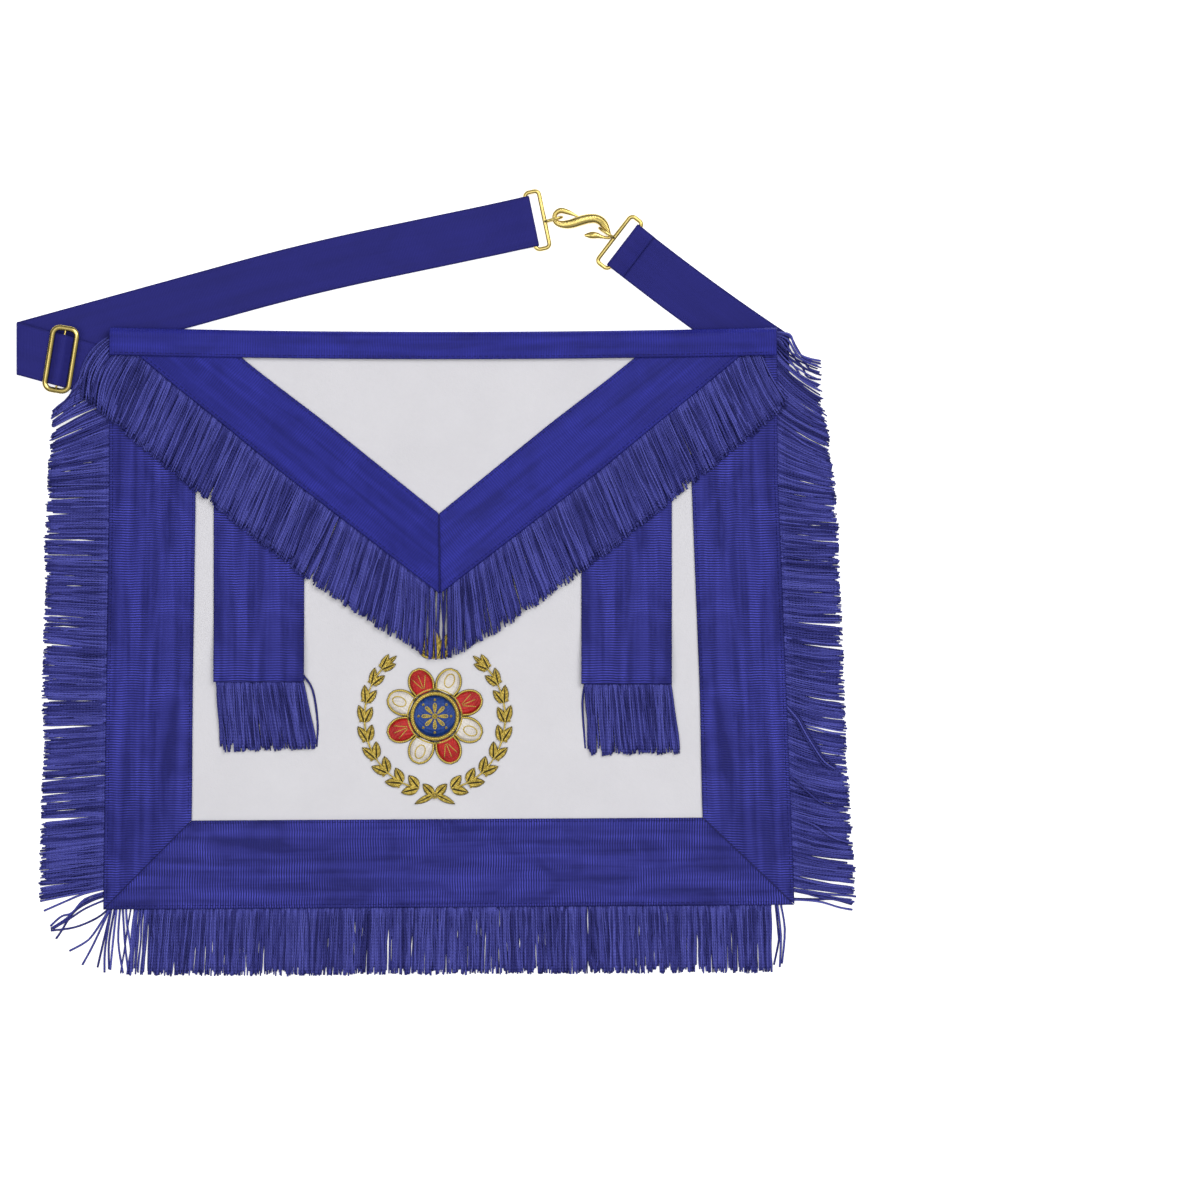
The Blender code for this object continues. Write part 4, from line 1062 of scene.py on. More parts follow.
def make_stitches_and_seam_shade():
    top = RIBBON_LEVEL + RIBBON
    flap_top = FLAP_RIBBON_LEVEL + RIBBON
    left_in = [(x + RIBBON_WIDTH, y) for x, y in LEFT_EDGE]
    right_in = [(x - RIBBON_WIDTH, y) for x, y in RIGHT_EDGE]
    bottom = [tuple(MITRE_LEFT[0]), tuple(MITRE_RIGHT[0])]
    bottom_in = [tuple(MITRE_LEFT[1]), tuple(MITRE_RIGHT[1])]
    outer, inner = STITCH_INSET, STITCH_INSET_INNER
    rows = [
        (beside(LEFT_EDGE, outer, 30.0, 338.0), top),
        (beside(RIGHT_EDGE, -outer, 30.0, 334.0), top),
        (beside(bottom, outer, 6.0, 400.0), top),
        (beside(left_in, -inner, 95.0, 288.0), top),
        (beside(right_in, inner, 95.0, 288.0), top),
        (beside(bottom_in, -inner, 3.0, 298.0), top),
        (beside(FLAP_LEFT, outer, 22.0, 238.0), flap_top),
        (beside(FLAP_RIGHT, -outer, 22.0, 238.0), flap_top),
        (beside(FLAP_INNER_LEFT, -inner, 14.0, 165.0), flap_top),
        (beside(FLAP_INNER_RIGHT, inner, 14.0, 165.0), flap_top),
    ]
    shape = Shape()
    for row, level in rows:
        add_stitches(shape, [on_cloth(x, y, level) for x, y in row])
    for left, hem in TABS.values():
        row = [(x, hem + 3.6) for x in spread(left + 1, left + TAB_WIDTH - 1, 4.0)]
        add_stitches(shape, [on_cloth(x, y, top + tab_rise(x, y)) for x, y in row])
    band = BAND_HOLLOW + LAYER_STEP + RIBBON
    row = []
    for x in spread(LEFT_EDGE[0][0] + 2, RIGHT_EDGE[0][0] - 2, 4.0):
        y = BODY_TOP - BAND_HEIGHT + inner
        row.append(Vector((x, y + sag(x, y), band + band_lift(x, y))))
    add_stitches(shape, row)
    # Dark threads along the flap's middle seam and the mitres: partly the sewn seam, partly painted
    # shade in the gap between the ribbons.
    seam_shade_lines = (
        ([(1.9, 41.5), (2.35, -4.6)], 0.46, flap_top - 0.55),
        ([MITRE_LEFT[0].lerp(MITRE_LEFT[1], t) for t in (0.03, 0.97)], 0.24, top - 0.2),
        ([MITRE_RIGHT[0].lerp(MITRE_RIGHT[1], t) for t in (0.03, 0.97)], 0.42, top - 0.2),
    )
    for line, radius, level in seam_shade_lines:
        points = [Vector(line[0]).lerp(Vector(line[1]), t) for t in spread(0, 1, 0.05)]
        points = [on_cloth(x, y, level) for x, y in points]
        add_tube(shape, points, radius, 8, tag=5.0)
    dress(shape.build("thread_and_seam_shades", [THREAD_AND_SEAM_SHADE_BLUE]), "ribbon")


# Fringes


def strand_at(hang, along):
    """Give the way from a strand's root to its tip at a distance along the header."""
    heading, share = between(hang, along)
    return polar(FRINGE_LENGTH * share, math.radians(heading))


# Layers of cords: height over the lowest, spacing, share left out, thickness against a cord's
Layer = namedtuple("Layer", "rise spacing skip swell")
FULL_FRINGE = (
    Layer(0.0, 1.00, 0.0, 1.45),
    Layer(0.5, 1.10, 0.04, 1.0),
    Layer(1.0, 1.30, 0.12, 1.0),
    Layer(1.5, 2.60, 0.35, 1.0),
)


def turn_at_partings(partings, along):
    """Give how far a strand turns away from the partings beside it, and how calmly it lies."""
    turn, nearest = 0.0, 100.0
    for parting in partings:
        off = along - parting.along
        turn += math.copysign(parting.degrees, off) * math.exp(-abs(off) / 2.5)
        nearest = min(nearest, abs(off))
    return turn, 1 - 0.75 * math.exp(-nearest / 1.6)


def add_cords(
    shape, path, hang, level, draw,
    droop=None, thin=None, bow=None, perch=None, partings=(), span=(0.0, 1000.0),
):
    """Add layer on layer of loose cords that hang from a line, each with its own bend and length."""
    total = path_length(path)
    tag = draw.randint(0, 200)
    for layer in FULL_FRINGE:
        for i in range(int(total / layer.spacing)):
            along = (i + 0.5 + draw.uniform(-0.3, 0.3)) * layer.spacing
            chance = layer.skip + (thin(along) if thin else 0.0)
            tag += 1
            if draw.random() < chance or not span[0] < along < span[1]:
                continue
            root, direction = point_on_path(path, along)
            outward = -left_of(direction)
            reach = strand_at(hang, along)
            tuft = noise.noise(Vector((along / TUFT_LENGTH, level * 3, path[0][0])))
            own_tuft = noise.noise(Vector((along / OWN_TUFT_LENGTH, layer.rise * 9, path[0][0])))
            sway = noise.noise(Vector((along / SWAY_LENGTH, 5.0, path[0][1])))
            away, calm = turn_at_partings(partings, along)
            own_turn = TUFT_TURN * tuft + OWN_TUFT_TURN * own_tuft + draw.gauss(0, LOOSE_TURN)
            turn = math.radians(SWAY_TURN * sway + own_turn * calm + away)
            reach.rotate(Matrix.Rotation(turn, 2))
            reach *= LONGEST_CORD - CORD_SHORTFALL * draw.random() ** 1.6 + 0.03 * own_tuft
            side = left_of(reach).normalized()
            bend = (draw.gauss(0, 0.5) + own_tuft) * calm
            arch = bow(along) if bow else 0.0
            wave, phase = draw.uniform(*CORD_WAVE) * calm, draw.uniform(0, 6.28)
            points, radii = [], []
            start = root - outward * ROOT_UNDER
            for step in range(CORD_STEPS + 1):
                t = step / CORD_STEPS
                p = start + (reach + outward * ROOT_UNDER) * t
                p += side * (bend * math.sin(math.pi * t * 0.8) * t + arch * 4 * t * (1 - t))
                p += side * (wave * math.sin(phase + 9 * t) * min(4 * t, 1.0))
                kept = 1.0 - t * (droop(root) if droop else 0.0)
                rise = layer.rise * smooth_step(t / 0.22) * (1 - 0.45 * t)
                z = drape(*p) * kept + level + CORD_RADIUS + rise
                z += 0.18 * math.sin(phase * 2 + 7 * t) * t
                z += perch(*root) * (1 - smooth_step(t)) if perch else 0.0
                z = max(z, CORD_RADIUS * layer.swell * OFF_FLOOR)
                points.append(Vector((p.x, p.y + sag(*root), z)))
                radii.append(CORD_RADIUS * draw.uniform(0.95, 1.05) * layer.swell)
            radii[-1] *= TIP_TAPER
            add_tube(shape, points, radii, CORD_SIDES, tag=float(tag))


def add_strays(shape, strands, level, draw, over=0.0):
    """Lay single strands along their own lines, down on what lies below them."""
    for strand in strands:
        line = through(strand, 4)
        points = []
        for i, (x, y) in enumerate(line):
            t = i / (len(line) - 1)
            fall = level * (1 - t) + drape(x, y) * (1 - 0.6 * t)
            fall += over * smooth_step(4 * t) * (1 - 0.4 * t)
            points.append(Vector((x, y, fall + STRAY_RADIUS * (OFF_FLOOR + draw.random() * 0.1))))
        radii = [STRAY_RADIUS * draw.uniform(0.95, 1.05) for _ in points]
        add_tube(shape, points, radii, CORD_SIDES, tag=float(draw.randint(0, 300)))


def add_header(shape, path, level, perch=None):
    """The woven heading that holds the cords, sewn in under the ribbon."""
    total = path_length(path)

    def place(u, v):
        point, direction = point_on_path(path, min(v, total))
        p = point + left_of(direction) * (FRINGE_HEADER - u)
        lift = perch(*point) if perch else 0.0
        return Vector((p.x, p.y + sag(*p), drape(*p) + level + HEADER_HEIGHT / 2 + lift))

    across, along = spread(0, FRINGE_HEADER, 1.5), spread(0, total, 4.0)
    add_slab(shape, place, across, along, FRINGE_HEADER, total, HEADER_HEIGHT)


def hang_fringe(name, node, path, hang, level, seed, strays=(), crossing=(), **options):
    """Hang one fringe: its heading, its cords, and the strands that stray or cross over them."""
    draw = random.Random(seed)
    shape = Shape()
    add_header(shape, path, level, options.get("perch"))
    add_cords(shape, path, hang, level, draw, **options)
    add_strays(shape, strays, level, draw)
    add_strays(shape, crossing, level, draw, CROSSING_RISE)
    piece = shape.build(name, [CORD_BLUE])
    return dress(piece, "fringe", node)


def make_fringes():
    def tips_fall(root):
        return 0.9 * smooth_step((110 - root.y) / 25)

    def curl_left(along):
        return -5.5 * smooth_step(1 - along / 55)

    def thin_right(along):
        return 0.72 * smooth_step((along - 312) / 8) + 0.35 * smooth_step((14 - along) / 10)

    corner = MITRE_LEFT[0].y + FRINGE_HEADER + GAP
    path = [(edge_x(LEFT_EDGE, y), y) for y in (LAYERS_TOP, LEFT_EDGE[1][1], corner)]
    left = hang_fringe(
        "cords_left", "fringe_left", path, HANG_LEFT, 0.0, 3, STRAY_LEFT,
        droop=tips_fall, bow=curl_left, partings=PARTED_LEFT, span=(0.0, 325.0),
    )
    corner = MITRE_RIGHT[0].y + FRINGE_HEADER + GAP
    path = [(edge_x(RIGHT_EDGE, y), y) for y in (corner, RIGHT_EDGE[1][1], LAYERS_TOP + 2)]
    right = hang_fringe(
        "cords_right", "fringe_right", path, HANG_RIGHT, 0.0, 5, STRAY_RIGHT, CROSSING_RIGHT,
        droop=tips_fall, bow=lambda along: between(BOW_RIGHT, along)[0],
        thin=thin_right, partings=PARTED_RIGHT, span=(3.0, 332.0),
    )
    start, end = MITRE_LEFT[0], MITRE_RIGHT[0]
    end_y = start.y + (end.y - start.y) * (BOTTOM_FRINGE_END - start.x) / (end.x - start.x)
    path = [tuple(start), (BOTTOM_FRINGE_END, end_y)]
    bottom = hang_fringe(
        "cords_bottom", "fringe_bottom", path, HANG_BOTTOM, 0.0, 7, STRAY_BOTTOM,
        thin=lambda along: 0.6 * smooth_step((30 - along) / 7),
        partings=PARTED_BOTTOM, span=(15.5, 393.0),
    )
    return {"left": left, "right": right, "bottom": bottom}


def make_flap_fringes():
    def header_line(edge, first):
        first, _ = point_on_path(edge, first)
        last, _ = point_on_path(edge, path_length(edge) - FLAP_POINT_BARE)
        return [tuple(first)] + edge[1:-1] + [tuple(last)]

    path = header_line(FLAP_LEFT, 1.0)
    total = path_length(path)
    left = hang_fringe(
        "flap_cords_left", "flap_fringe_left", path, HANG_FLAP_LEFT, FLAP_LEVEL, 11, STRAY_POINT,
        thin=lambda along: 0.6 * smooth_step((along - total + 14) / 12),
        bow=lambda along: -6.0 * smooth_step(1 - along / 26),
    )
    path = list(reversed(header_line(FLAP_RIGHT, FLAP_HEADER_START)))
    right = hang_fringe(
        "flap_cords_right", "flap_fringe_right", path, HANG_FLAP_RIGHT, FLAP_LEVEL, 13,
        thin=lambda along: 0.6 * smooth_step((14 - along) / 12),
        bow=lambda along: -1.5 * smooth_step((along - 200) / 30),
    )
    return {"left": left, "right": right}


def make_tab_fringes():
    pieces = {}
    for side, (left, hem) in TABS.items():
        path = [(left + 1.6, hem), (left + TAB_WIDTH - 0.4, hem)]
        pieces[side] = hang_fringe(
            "tab_cords_" + side, "tab_fringe_" + side, path, HANG_TABS[side], RIBBON_LEVEL, 17,
            STRAY_TABS[side], perch=tab_lift,
        )
    return pieces


# Belt


Course = namedtuple("Course", "start slope straight bend bent")
BELT_COURSE = Course(
    CREASE + Vector((-math.pi * CREASE_RADIUS, 0)), BELT_SLOPE, BELT_BEND_START,
    (BELT_END_SLOPE - BELT_SLOPE) / (BELT_BEND_END - BELT_BEND_START), BELT_BEND_END,
)
SHORT_COURSE = Course(
    SHORT_START, SHORT_SLOPE, SHORT_STRAIGHT,
    (SHORT_END_SLOPE - SHORT_SLOPE) / (SHORT_LENGTH - SHORT_STRAIGHT), math.inf,
)


def strap_plan(course, s, w):
    """Plan of a strap, w off its middle: straight, then on a wide arc, then straight again."""
    straight = min(s, course.straight)
    x = course.start.x + straight * math.cos(course.slope)
    y = course.start.y + straight * math.sin(course.slope)
    slope = course.slope
    if s > course.straight:
        slope += course.bend * (min(s, course.bent) - course.straight)
        x += (math.sin(slope) - math.sin(course.slope)) / course.bend
        y -= (math.cos(slope) - math.cos(course.slope)) / course.bend
    if s > course.bent:
        x += (s - course.bent) * math.cos(slope)
        y += (s - course.bent) * math.sin(slope)
    return Vector((x - w * math.sin(slope), y + w * math.cos(slope)))


def belt_point(s, w, h):
    """Place a point of the belt that is s past the crease, w off its middle and h off its core."""
    sine, cosine = math.sin(BELT_SLOPE), math.cos(BELT_SLOPE)
    past = s * cosine - w * sine
    y = CREASE.y + s * sine + w * cosine
    core = CREASE_AXIS_Z + CREASE_RADIUS
    if past <= 0:
        return Vector((CREASE.x - past, y, core + h))
    angle = past / CREASE_RADIUS
    if angle < math.pi:
        reach = CREASE_RADIUS + h
        x = CREASE.x - reach * math.sin(angle)
        return Vector((x, y, CREASE_AXIS_Z + reach * math.cos(angle)))
    x, y = strap_plan(BELT_COURSE, s, w)
    climb = smooth_step((s - BELT_LENGTH + BELT_CLIMB_START) / BELT_CLIMB_RUN)
    low = CREASE_AXIS_Z - CREASE_RADIUS
    return Vector((x, y, low + (HOOK_Z - low) * climb - h))


# How far the belt's cross lines lean, as a share of the offset from its middle
BELT_SKEW = [
    (BELT_CORNER_END, 0.81),
    (-42.0, 0.098), (-16.0, 0.098),
    (-6.0, math.tan(BELT_SLOPE)),
    (12.0, math.tan(BELT_SLOPE)),
    (45.0, 0.0),
]


# The belt's climb over the slider's bar: distance from the bar, height off the core
OVER_BAR = [
    (-9.7, -BELT_LAYER),
    (-7.2, -0.3), (-5.4, 0.75), (-3.8, 2.45), (-2.2, 4.15), (-1.2, 5.05), (0.0, 5.25), (1.2, 5.05),
    (2.2, 4.15), (3.9, 2.45), (5.6, 0.75),
    (8.3, BELT_LAYER),
]


def half_turn():
    """Side view of a strap's turn round a loop's wire, from its top to its foot."""
    radius = (LOOP_WIRE + WEBBING) / 2 + GAP
    angles = [math.pi * step / 12 for step in range(13)]
    return [(radius * math.sin(angle), radius * math.cos(angle)) for angle in angles]


def belt_profile():
    """Side view of the whole belt as (distance, height off the core): outward, then back."""
    turn = CREASE_RADIUS * math.pi / math.cos(BELT_SLOPE)
    crease = [turn * step / 10 for step in range(11)]
    far = BELT_LENGTH
    run = [-5.0] + crease + [9.0, 13.0] + spread(20.0, far - 34.0, 6.0)
    run += [far - back for back in (28.0, 24.0, 20.0, 16.0, 12.0, 9.0)]
    at = SLIDER_AT
    out = [(s, -BELT_LAYER) for s in spread(BELT_CORNER_END, at - 12.0, 2.0)]
    out += [(at + off, height) for off, height in OVER_BAR]
    out += [(s, BELT_LAYER) for s in [-12.0, -8.0] + run]
    out.append((far - 4.5, 1.45))
    wrap = [(far + x, height) for x, height in half_turn()]
    back = [(far - 4.5, -1.45)]
    back += [(s, -BELT_LAYER) for s in run[::-1] + [-8.0, -12.0, at + 5.6]]
    back.append((at + 3.0, -0.1))
    hug = (CENTRE_BAR + WEBBING) / 2 + GAP
    bar_height = SLIDER_Z - CREASE_AXIS_Z - CREASE_RADIUS
    for step in range(15):
        angle = math.radians(-90 - 17 * step)
        back.append((at + hug * math.cos(angle), bar_height + hug * math.sin(angle)))
    return out + wrap + back


def short_point(s, w, z):
    x, y = strap_plan(SHORT_COURSE, s, w)
    return Vector((x, y, z))


def short_profile():
    """Side view of the short end: it lies flat, climbs to the loop, and is turned over it."""
    low = WEBBING / 2
    profile = [(s, low) for s in spread(SHORT_LENGTH, 20.0, 6.0)]
    profile += [(14.0, low + 0.3), (SHORT_TURNOVER - 1, low + 0.7), (4.5, HOOK_Z - 1.5)]
    profile += [(-x, HOOK_Z - height) for x, height in half_turn()]
    profile += [(4.5, HOOK_Z + 0.9), (SHORT_TURNOVER - 2, low + 2.9), (SHORT_TURNOVER, low + 2.3)]
    return profile


def gather(s, w):
    """Creases where the corner strap is drawn in towards the waistband."""
    share = smooth_step((GATHER_START - s) / GATHER_RUN)
    share *= smooth_step((GATHER_REACH - w) / GATHER_FADE)
    fan = 0.16 * (s - GATHER_START) * (w + BELT_WIDTH / 2) / 10
    return GATHER_HEIGHT * share * (1 + math.sin(w * 1.25 - fan))


def lay_strap(name, node, profile, where, skew):
    """Lay webbing along a side profile; where turns (distance, offset, height) into a point."""
    runs = [0.0]
    for a, b in zip(profile, profile[1:]):
        runs.append(runs[-1] + math.dist(a, b))
    line = [(run, s, h) for run, (s, h) in zip(runs, profile)]

    def place(u, v):
        s, h = between(line, v)
        w = u - BELT_WIDTH / 2
        point = where(s + w * between(skew, s)[0], w, h)
        return point + Z_AXIS * gather(s, w)

    shape = Shape()
    add_slab(shape, place, spread(0, BELT_WIDTH, 1.5), runs, BELT_WIDTH, runs[-1], WEBBING)
    piece = shape.build(name, [BELT_BLUE])
    dress(piece, "webbing", node)
    return piece


def make_belts():
    lay_strap("belt_ribbon_long", "belt_long", belt_profile(), belt_point, BELT_SKEW)
    skew = [(60.0, 0.0), (SHORT_LENGTH, math.tan(SHORT_END_SLOPE))]
    lay_strap("belt_ribbon_short", "belt_short", short_profile(), short_point, skew)


# Brass


def rounded_ring(half_length, half_width, corner, steps):
    """Corner points of a flat ring with round corners, about its own middle."""
    points = []
    for turn, (sx, sy) in enumerate(((1, 1), (-1, 1), (-1, -1), (1, -1))):
        for step in range(steps + 1):
            angle = math.pi / 2 * (turn + step / steps)
            x = sx * (half_width - corner) + corner * math.cos(angle)
            y = sy * (half_length - corner) + corner * math.sin(angle)
            points.append(Vector((x, y, 0)))
    return points


def make_loop(name, node, bar, heading, eye):
    half_length = (LOOP_LENGTH - LOOP_WIRE) / 2
    turn = Matrix.Rotation(heading, 3, Z_AXIS)
    centre = Vector((bar.x, bar.y, HOOK_Z)) + turn @ Vector((LOOP_SPAN / 2, 0, 0))
    ring = rounded_ring(half_length, LOOP_SPAN / 2, LOOP_CORNER, 8)
    points = [centre + turn @ point for point in ring]
    shape = Shape()
    add_tube(shape, points, LOOP_WIRE / 2 + POLISH, 18, closed=True)
    root = centre + turn @ Vector((LOOP_SPAN / 2, eye.shift, 0))
    out = polar(1.0, eye.angle).to_3d()
    points = []
    for step in range(EYE_STEPS):
        angle = TURN * step / EYE_STEPS
        along = EYE_LENGTH / 2 * (1 - math.cos(angle))
        points.append(root + out * along + Z_AXIS * ((EYE_HEIGHT - POLISH) / 2 * math.sin(angle)))
    side = left_of(out).to_3d()
    add_tube(shape, points, EYE_WIRE / 2 + POLISH / 2, 14, closed=True, up=side)
    dress(shape.build(name, [GILT]), "brass", node)


def make_slider():
    length, width = SLIDER_SIZE
    ring = rounded_ring((length - SLIDER_WIRE) / 2, (width - SLIDER_WIRE) / 2, SLIDER_CORNER, 10)
    middle = belt_point(SLIDER_AT, SLIDER_OFFSET, 0)
    place = Matrix.Translation(Vector((middle.x, middle.y, SLIDER_Z)))
    place @= Matrix.Rotation(-SLIDER_TILT, 4, "Z")
    shape = Shape()
    points = [place @ point for point in ring]
    add_tube(shape, points, SLIDER_WIRE / 2, 28, closed=True, flat=SLIDER_FLATNESS, ridge=SLIDER_RIDGE)
    reach = (length - SLIDER_WIRE) / 2
    bar = [place @ Vector((0, y, 0)) for y in spread(-reach, reach, 3.0)]
    add_tube(shape, bar, CENTRE_BAR / 2, 14)
    dress(shape.build("belt_slider", [GILT]), "brass", "slider")


def make_serpent():
    """The serpent: fine rings along its body, a slim tail and neck, and a flat head."""
    samples = through(SERPENT, SERPENT_STEPS)
    points, radii, run = [], [], 0.0
    for i, (x, y, radius) in enumerate(samples):
        if i:
            run += math.dist(samples[i - 1][:2], (x, y))
        points.append(Vector((x, y, HOOK_Z)))
        scaly = smooth_step((radius - 0.9) / 0.6) * smooth_step((SCALES_END - i) / SCALES_FADE)
        ringed = 1 + SCALE_RELIEF * scaly * math.sin(TURN * run / SCALE_PITCH)
        radii.append((max(radius, 0.4) + POLISH / 2) * ringed)
    shape = Shape()
    add_tube(shape, points, radii, 20, flat=SERPENT_FLATNESS)
    dress(shape.build("serpent_hook", [GILT]), "brass", "snake_hook")


def make_hardware():
    bar = strap_plan(BELT_COURSE, BELT_LENGTH, 0)
    make_loop("belt_loop_left", "loop_left", bar, BELT_END_SLOPE, LEFT_EYE)
    make_loop("belt_loop_right", "loop_right", SHORT_START, SHORT_SLOPE + math.pi, RIGHT_EYE)
    make_serpent()
    make_slider()


# Emblem: laid and coiled threads over padding


def emblem_point(x, y, height):
    return on_cloth(EMBLEM.x + x, EMBLEM.y + y, EMBLEM_BASE + height)


def lay_thread(shape, a, b, height, tag, slot=0):
    """One laid thread that arches from a to b over the padding."""
    radius = THREAD_RADIUS
    points = []
    for step in range(6):
        t = step / 5
        x, y = a.lerp(b, t)
        points.append(emblem_point(x, y, radius * 0.7 + height * math.sin(math.pi * t) ** 0.6))
    radii = [radius * share for share in (0.75, 1.0, 1.0, 1.0, 1.0, 0.75)]
    add_tube(shape, points, radii, 5, tag=tag, slot=slot)


def lay_line(shape, line, radius, height, slot, closed=False, tag=0.0):
    points = [emblem_point(x, y, height) for x, y in line]
    add_tube(shape, points, radius, 6, closed=closed, tag=tag, slot=slot)


def lay_rope(shape, line, radius, height, pitch, closed=False):
    """Two strands twisted round each other along a line."""
    places = [emblem_point(x, y, height) for x, y in line]
    count = len(places)
    for strand in range(2):
        points, run = [], 0.0
        for i, place in enumerate(places):
            ahead = places[(i + 1) % count] if closed else places[min(i + 1, count - 1)]
            behind = places[i - 1] if closed or i else places[0]
            side = Z_AXIS.cross(ahead - behind).normalized()
            run += (place - places[i - 1]).length if i else 0.0
            angle = TURN * run / pitch + math.pi * strand
            points.append(place + (side * math.cos(angle) + Z_AXIS * math.sin(angle)) * radius * 0.5)
        add_tube(shape, points, radius * 0.52, 7, closed=closed, tag=strand * 3.0)


def lay_leaf(shape, base, tip, width, height, tag):
    """A padded leaf: slanting threads on both sides of a rib, with a dark edge."""
    way = tip - base
    side = left_of(way).normalized()

    def edge(t, sign):
        swell = math.sin(math.pi * min(t, 1.0) ** 0.8) ** 0.8
        return base + way * t + side * (sign * width / 2 * swell)

    count = max(int(way.length / THREAD_PITCH), 4)
    for sign in (-1, 1):
        for i in range(count):
            t = (i + 0.5) / count
            rib = base + way * max(t - 0.14, 0.0)
            lay_thread(shape, rib, edge(t, sign), height * (0.5 + 0.5 * math.sin(math.pi * t)), tag + i)
    lay_line(shape, [base.lerp(tip, t / 5) for t in range(6)], 0.2, height * 0.8 + 0.3, 1)
    steps = [i / 10 for i in range(11)]
    rim = [edge(t, 1) for t in steps] + [edge(t, -1) for t in reversed(steps[1:-1])]
    lay_line(shape, rim, 0.22, 0.25, 1, closed=True)


def ring(radius, steps):
    return [polar(radius, i * (TURN / steps)) for i in range(steps)]


def make_medallion():
    shape = Shape()
    rows = int(2 * DISC_RADIUS / THREAD_PITCH)
    for i in range(rows):
        x = -DISC_RADIUS + (i + 0.5) * THREAD_PITCH
        half = math.sqrt(max(DISC_RADIUS ** 2 - x * x, 0.1))
        dome = 0.55 * math.sqrt(max(1 - (x / DISC_RADIUS) ** 2, 0.0)) + 0.15
        lay_thread(shape, Vector((x, -half)), Vector((x, half)), dome, float(i))
    dress(shape.build("medallion_field", [BLUE]), "blue_thread", "emblem_disc")
    shape = Shape()
    lay_rope(shape, ring(DISC_RADIUS + ROPE_RADIUS, 240), ROPE_RADIUS, ROPE_RADIUS, 2.6, closed=True)
    lay_line(shape, ring(DISC_RADIUS + 2 * ROPE_RADIUS + 0.25, 96), 0.25, 0.25, 1, closed=True)
    dress(shape.build("medallion_rope", [GOLD, DARK]), "bullion", "emblem_ring")
    shape = Shape()
    for i in range(ROSETTE_PETALS):
        turn = Matrix.Rotation(TURN / ROSETTE_PETALS * i, 2)
        lay_bead(shape, turn @ Vector((9.6, 0)), 0.75, 1.1)
        lay_petal_loop(shape, turn @ Vector((2.2, 0)), turn @ Vector((7.6, 0)))
    lay_bead(shape, Vector((0, 0)), 1.7, 1.1)
    dress(shape.build("medallion_rosette", [GOLD, DARK]), "bullion")


def lay_bead(shape, middle, radius, height):
    """A knot of coiled thread: rings that shrink towards its top."""
    for level in range(3):
        size = radius * (1 - 0.36 * level)
        line = [middle + point for point in ring(size - 0.25, 14)]
        lay_line(shape, line, 0.3, height + 0.34 * level, 0, closed=True, tag=float(level))
    lay_line(shape, [middle + Vector((x, 0)) for x in (-0.15, 0.15)], 0.3, height + 0.9, 0)


def lay_petal_loop(shape, base, tip):
    """A little petal of two coils side by side round a middle line of the same gold."""
    way = tip - base
    side = left_of(way).normalized()
    loop = []
    for i in range(16):
        angle = TURN * i / 16
        share = (1 - math.cos(angle)) / 2
        loop.append(base + way * share + side * (1.15 * math.sin(angle) * (0.35 + 0.65 * share)))
    lay_line(shape, loop, 0.42, 1.05, 0, closed=True)
    lay_line(shape, [base.lerp(tip, t) for t in (0.3, 0.5, 0.8)], 0.35, 1.0, 0)


def petal_half_angle(radius):
    """Half the angle that a petal spans at a radius, a little less than its share of the turn."""
    whole = TURN / PETALS / 2 - PETAL_GAP
    if radius <= PETAL_SHOULDER:
        return whole
    share = min((radius - PETAL_SHOULDER) / (PETAL_OUTER - PETAL_SHOULDER), 1.0)
    return whole * (1 - 2 * math.asin(share ** (1 / 0.6)) / math.pi)


def petal_rim(middle):
    """Outline of the petal at an angle: out on one side, back on the other, and its foot."""
    radii = spread(PETAL_INNER + 0.3, PETAL_OUTER - 0.25, 1.1)
    rim = [polar(radius, middle - petal_half_angle(radius)) for radius in radii]
    rim += [polar(radius, middle + petal_half_angle(radius)) for radius in reversed(radii)]
    foot = TURN / PETALS / 2
    return rim + [polar(PETAL_INNER + 0.3, middle + foot * share) for share in (0.6, 0.2, -0.2, -0.6)]


def make_petals():
    """Satin petals, red and ivory in turn, each within a gold cord."""
    satin, cords = Shape(), Shape()
    radii = spread(PETAL_INNER + 0.5, PETAL_OUTER - 0.4, THREAD_PITCH)
    for petal in range(PETALS):
        middle = TURN / PETALS * (petal + 0.5)
        for i, radius in enumerate(radii):
            half = petal_half_angle(radius)
            if half * radius < 0.6:
                continue
            height = 0.35 + 0.4 * math.sin(math.pi * (i + 1) / (len(radii) + 2))
            a, b = polar(radius, middle - half), polar(radius, middle + half)
            lay_thread(satin, a, b, height, float(i), petal % 2)
        rim = petal_rim(middle)
        lay_line(cords, rim, 0.55, 0.66, 0, closed=True)
        lay_line(cords, rim, 0.78, 0.22, 1, closed=True)
        if petal % 2:
            centre = polar(INLAY_MIDDLE, middle)
            along = polar(INLAY_HALF[0], middle)
            across = polar(INLAY_HALF[1], middle + math.pi / 2)
            turns = [TURN * step / 24 for step in range(24)]
            inlay = [centre + along * math.cos(turn) + across * math.sin(turn) for turn in turns]
            lay_line(cords, inlay, 0.4, 1.0, 0, closed=True)
        else:
            for fan in (-0.5, 0.0, 0.5):
                foot = polar(17.6, middle + 0.07 * fan)
                tip = polar(26.0 - 2.4 * abs(fan), middle + 0.32 * fan)
                vein = [foot.lerp(tip, t) for t in (0.0, 0.33, 0.67, 1.0)]
                lay_line(cords, vein, 0.3, 1.1, 0)
    lay_line(cords, ring(PETAL_INNER + 0.2, 96), 0.4, 0.55, 0, closed=True)
    dress(satin.build("petal_satin", [RED, IVORY]), "red_thread", "emblem_petals")
    dress(cords.build("petal_cords", [GOLD, DARK]), "bullion")


def wreath_point(side, t, off):
    """A point off the stem of a laurel branch, t along it from its foot."""
    angle = math.radians(WREATH_START + WREATH_SWEEP * t)
    radius = WREATH_RADIUS + 2.5 * math.sin(math.pi * t) + off
    return Vector((side * radius * math.cos(angle), radius * math.sin(angle) * WREATH_STRETCH))


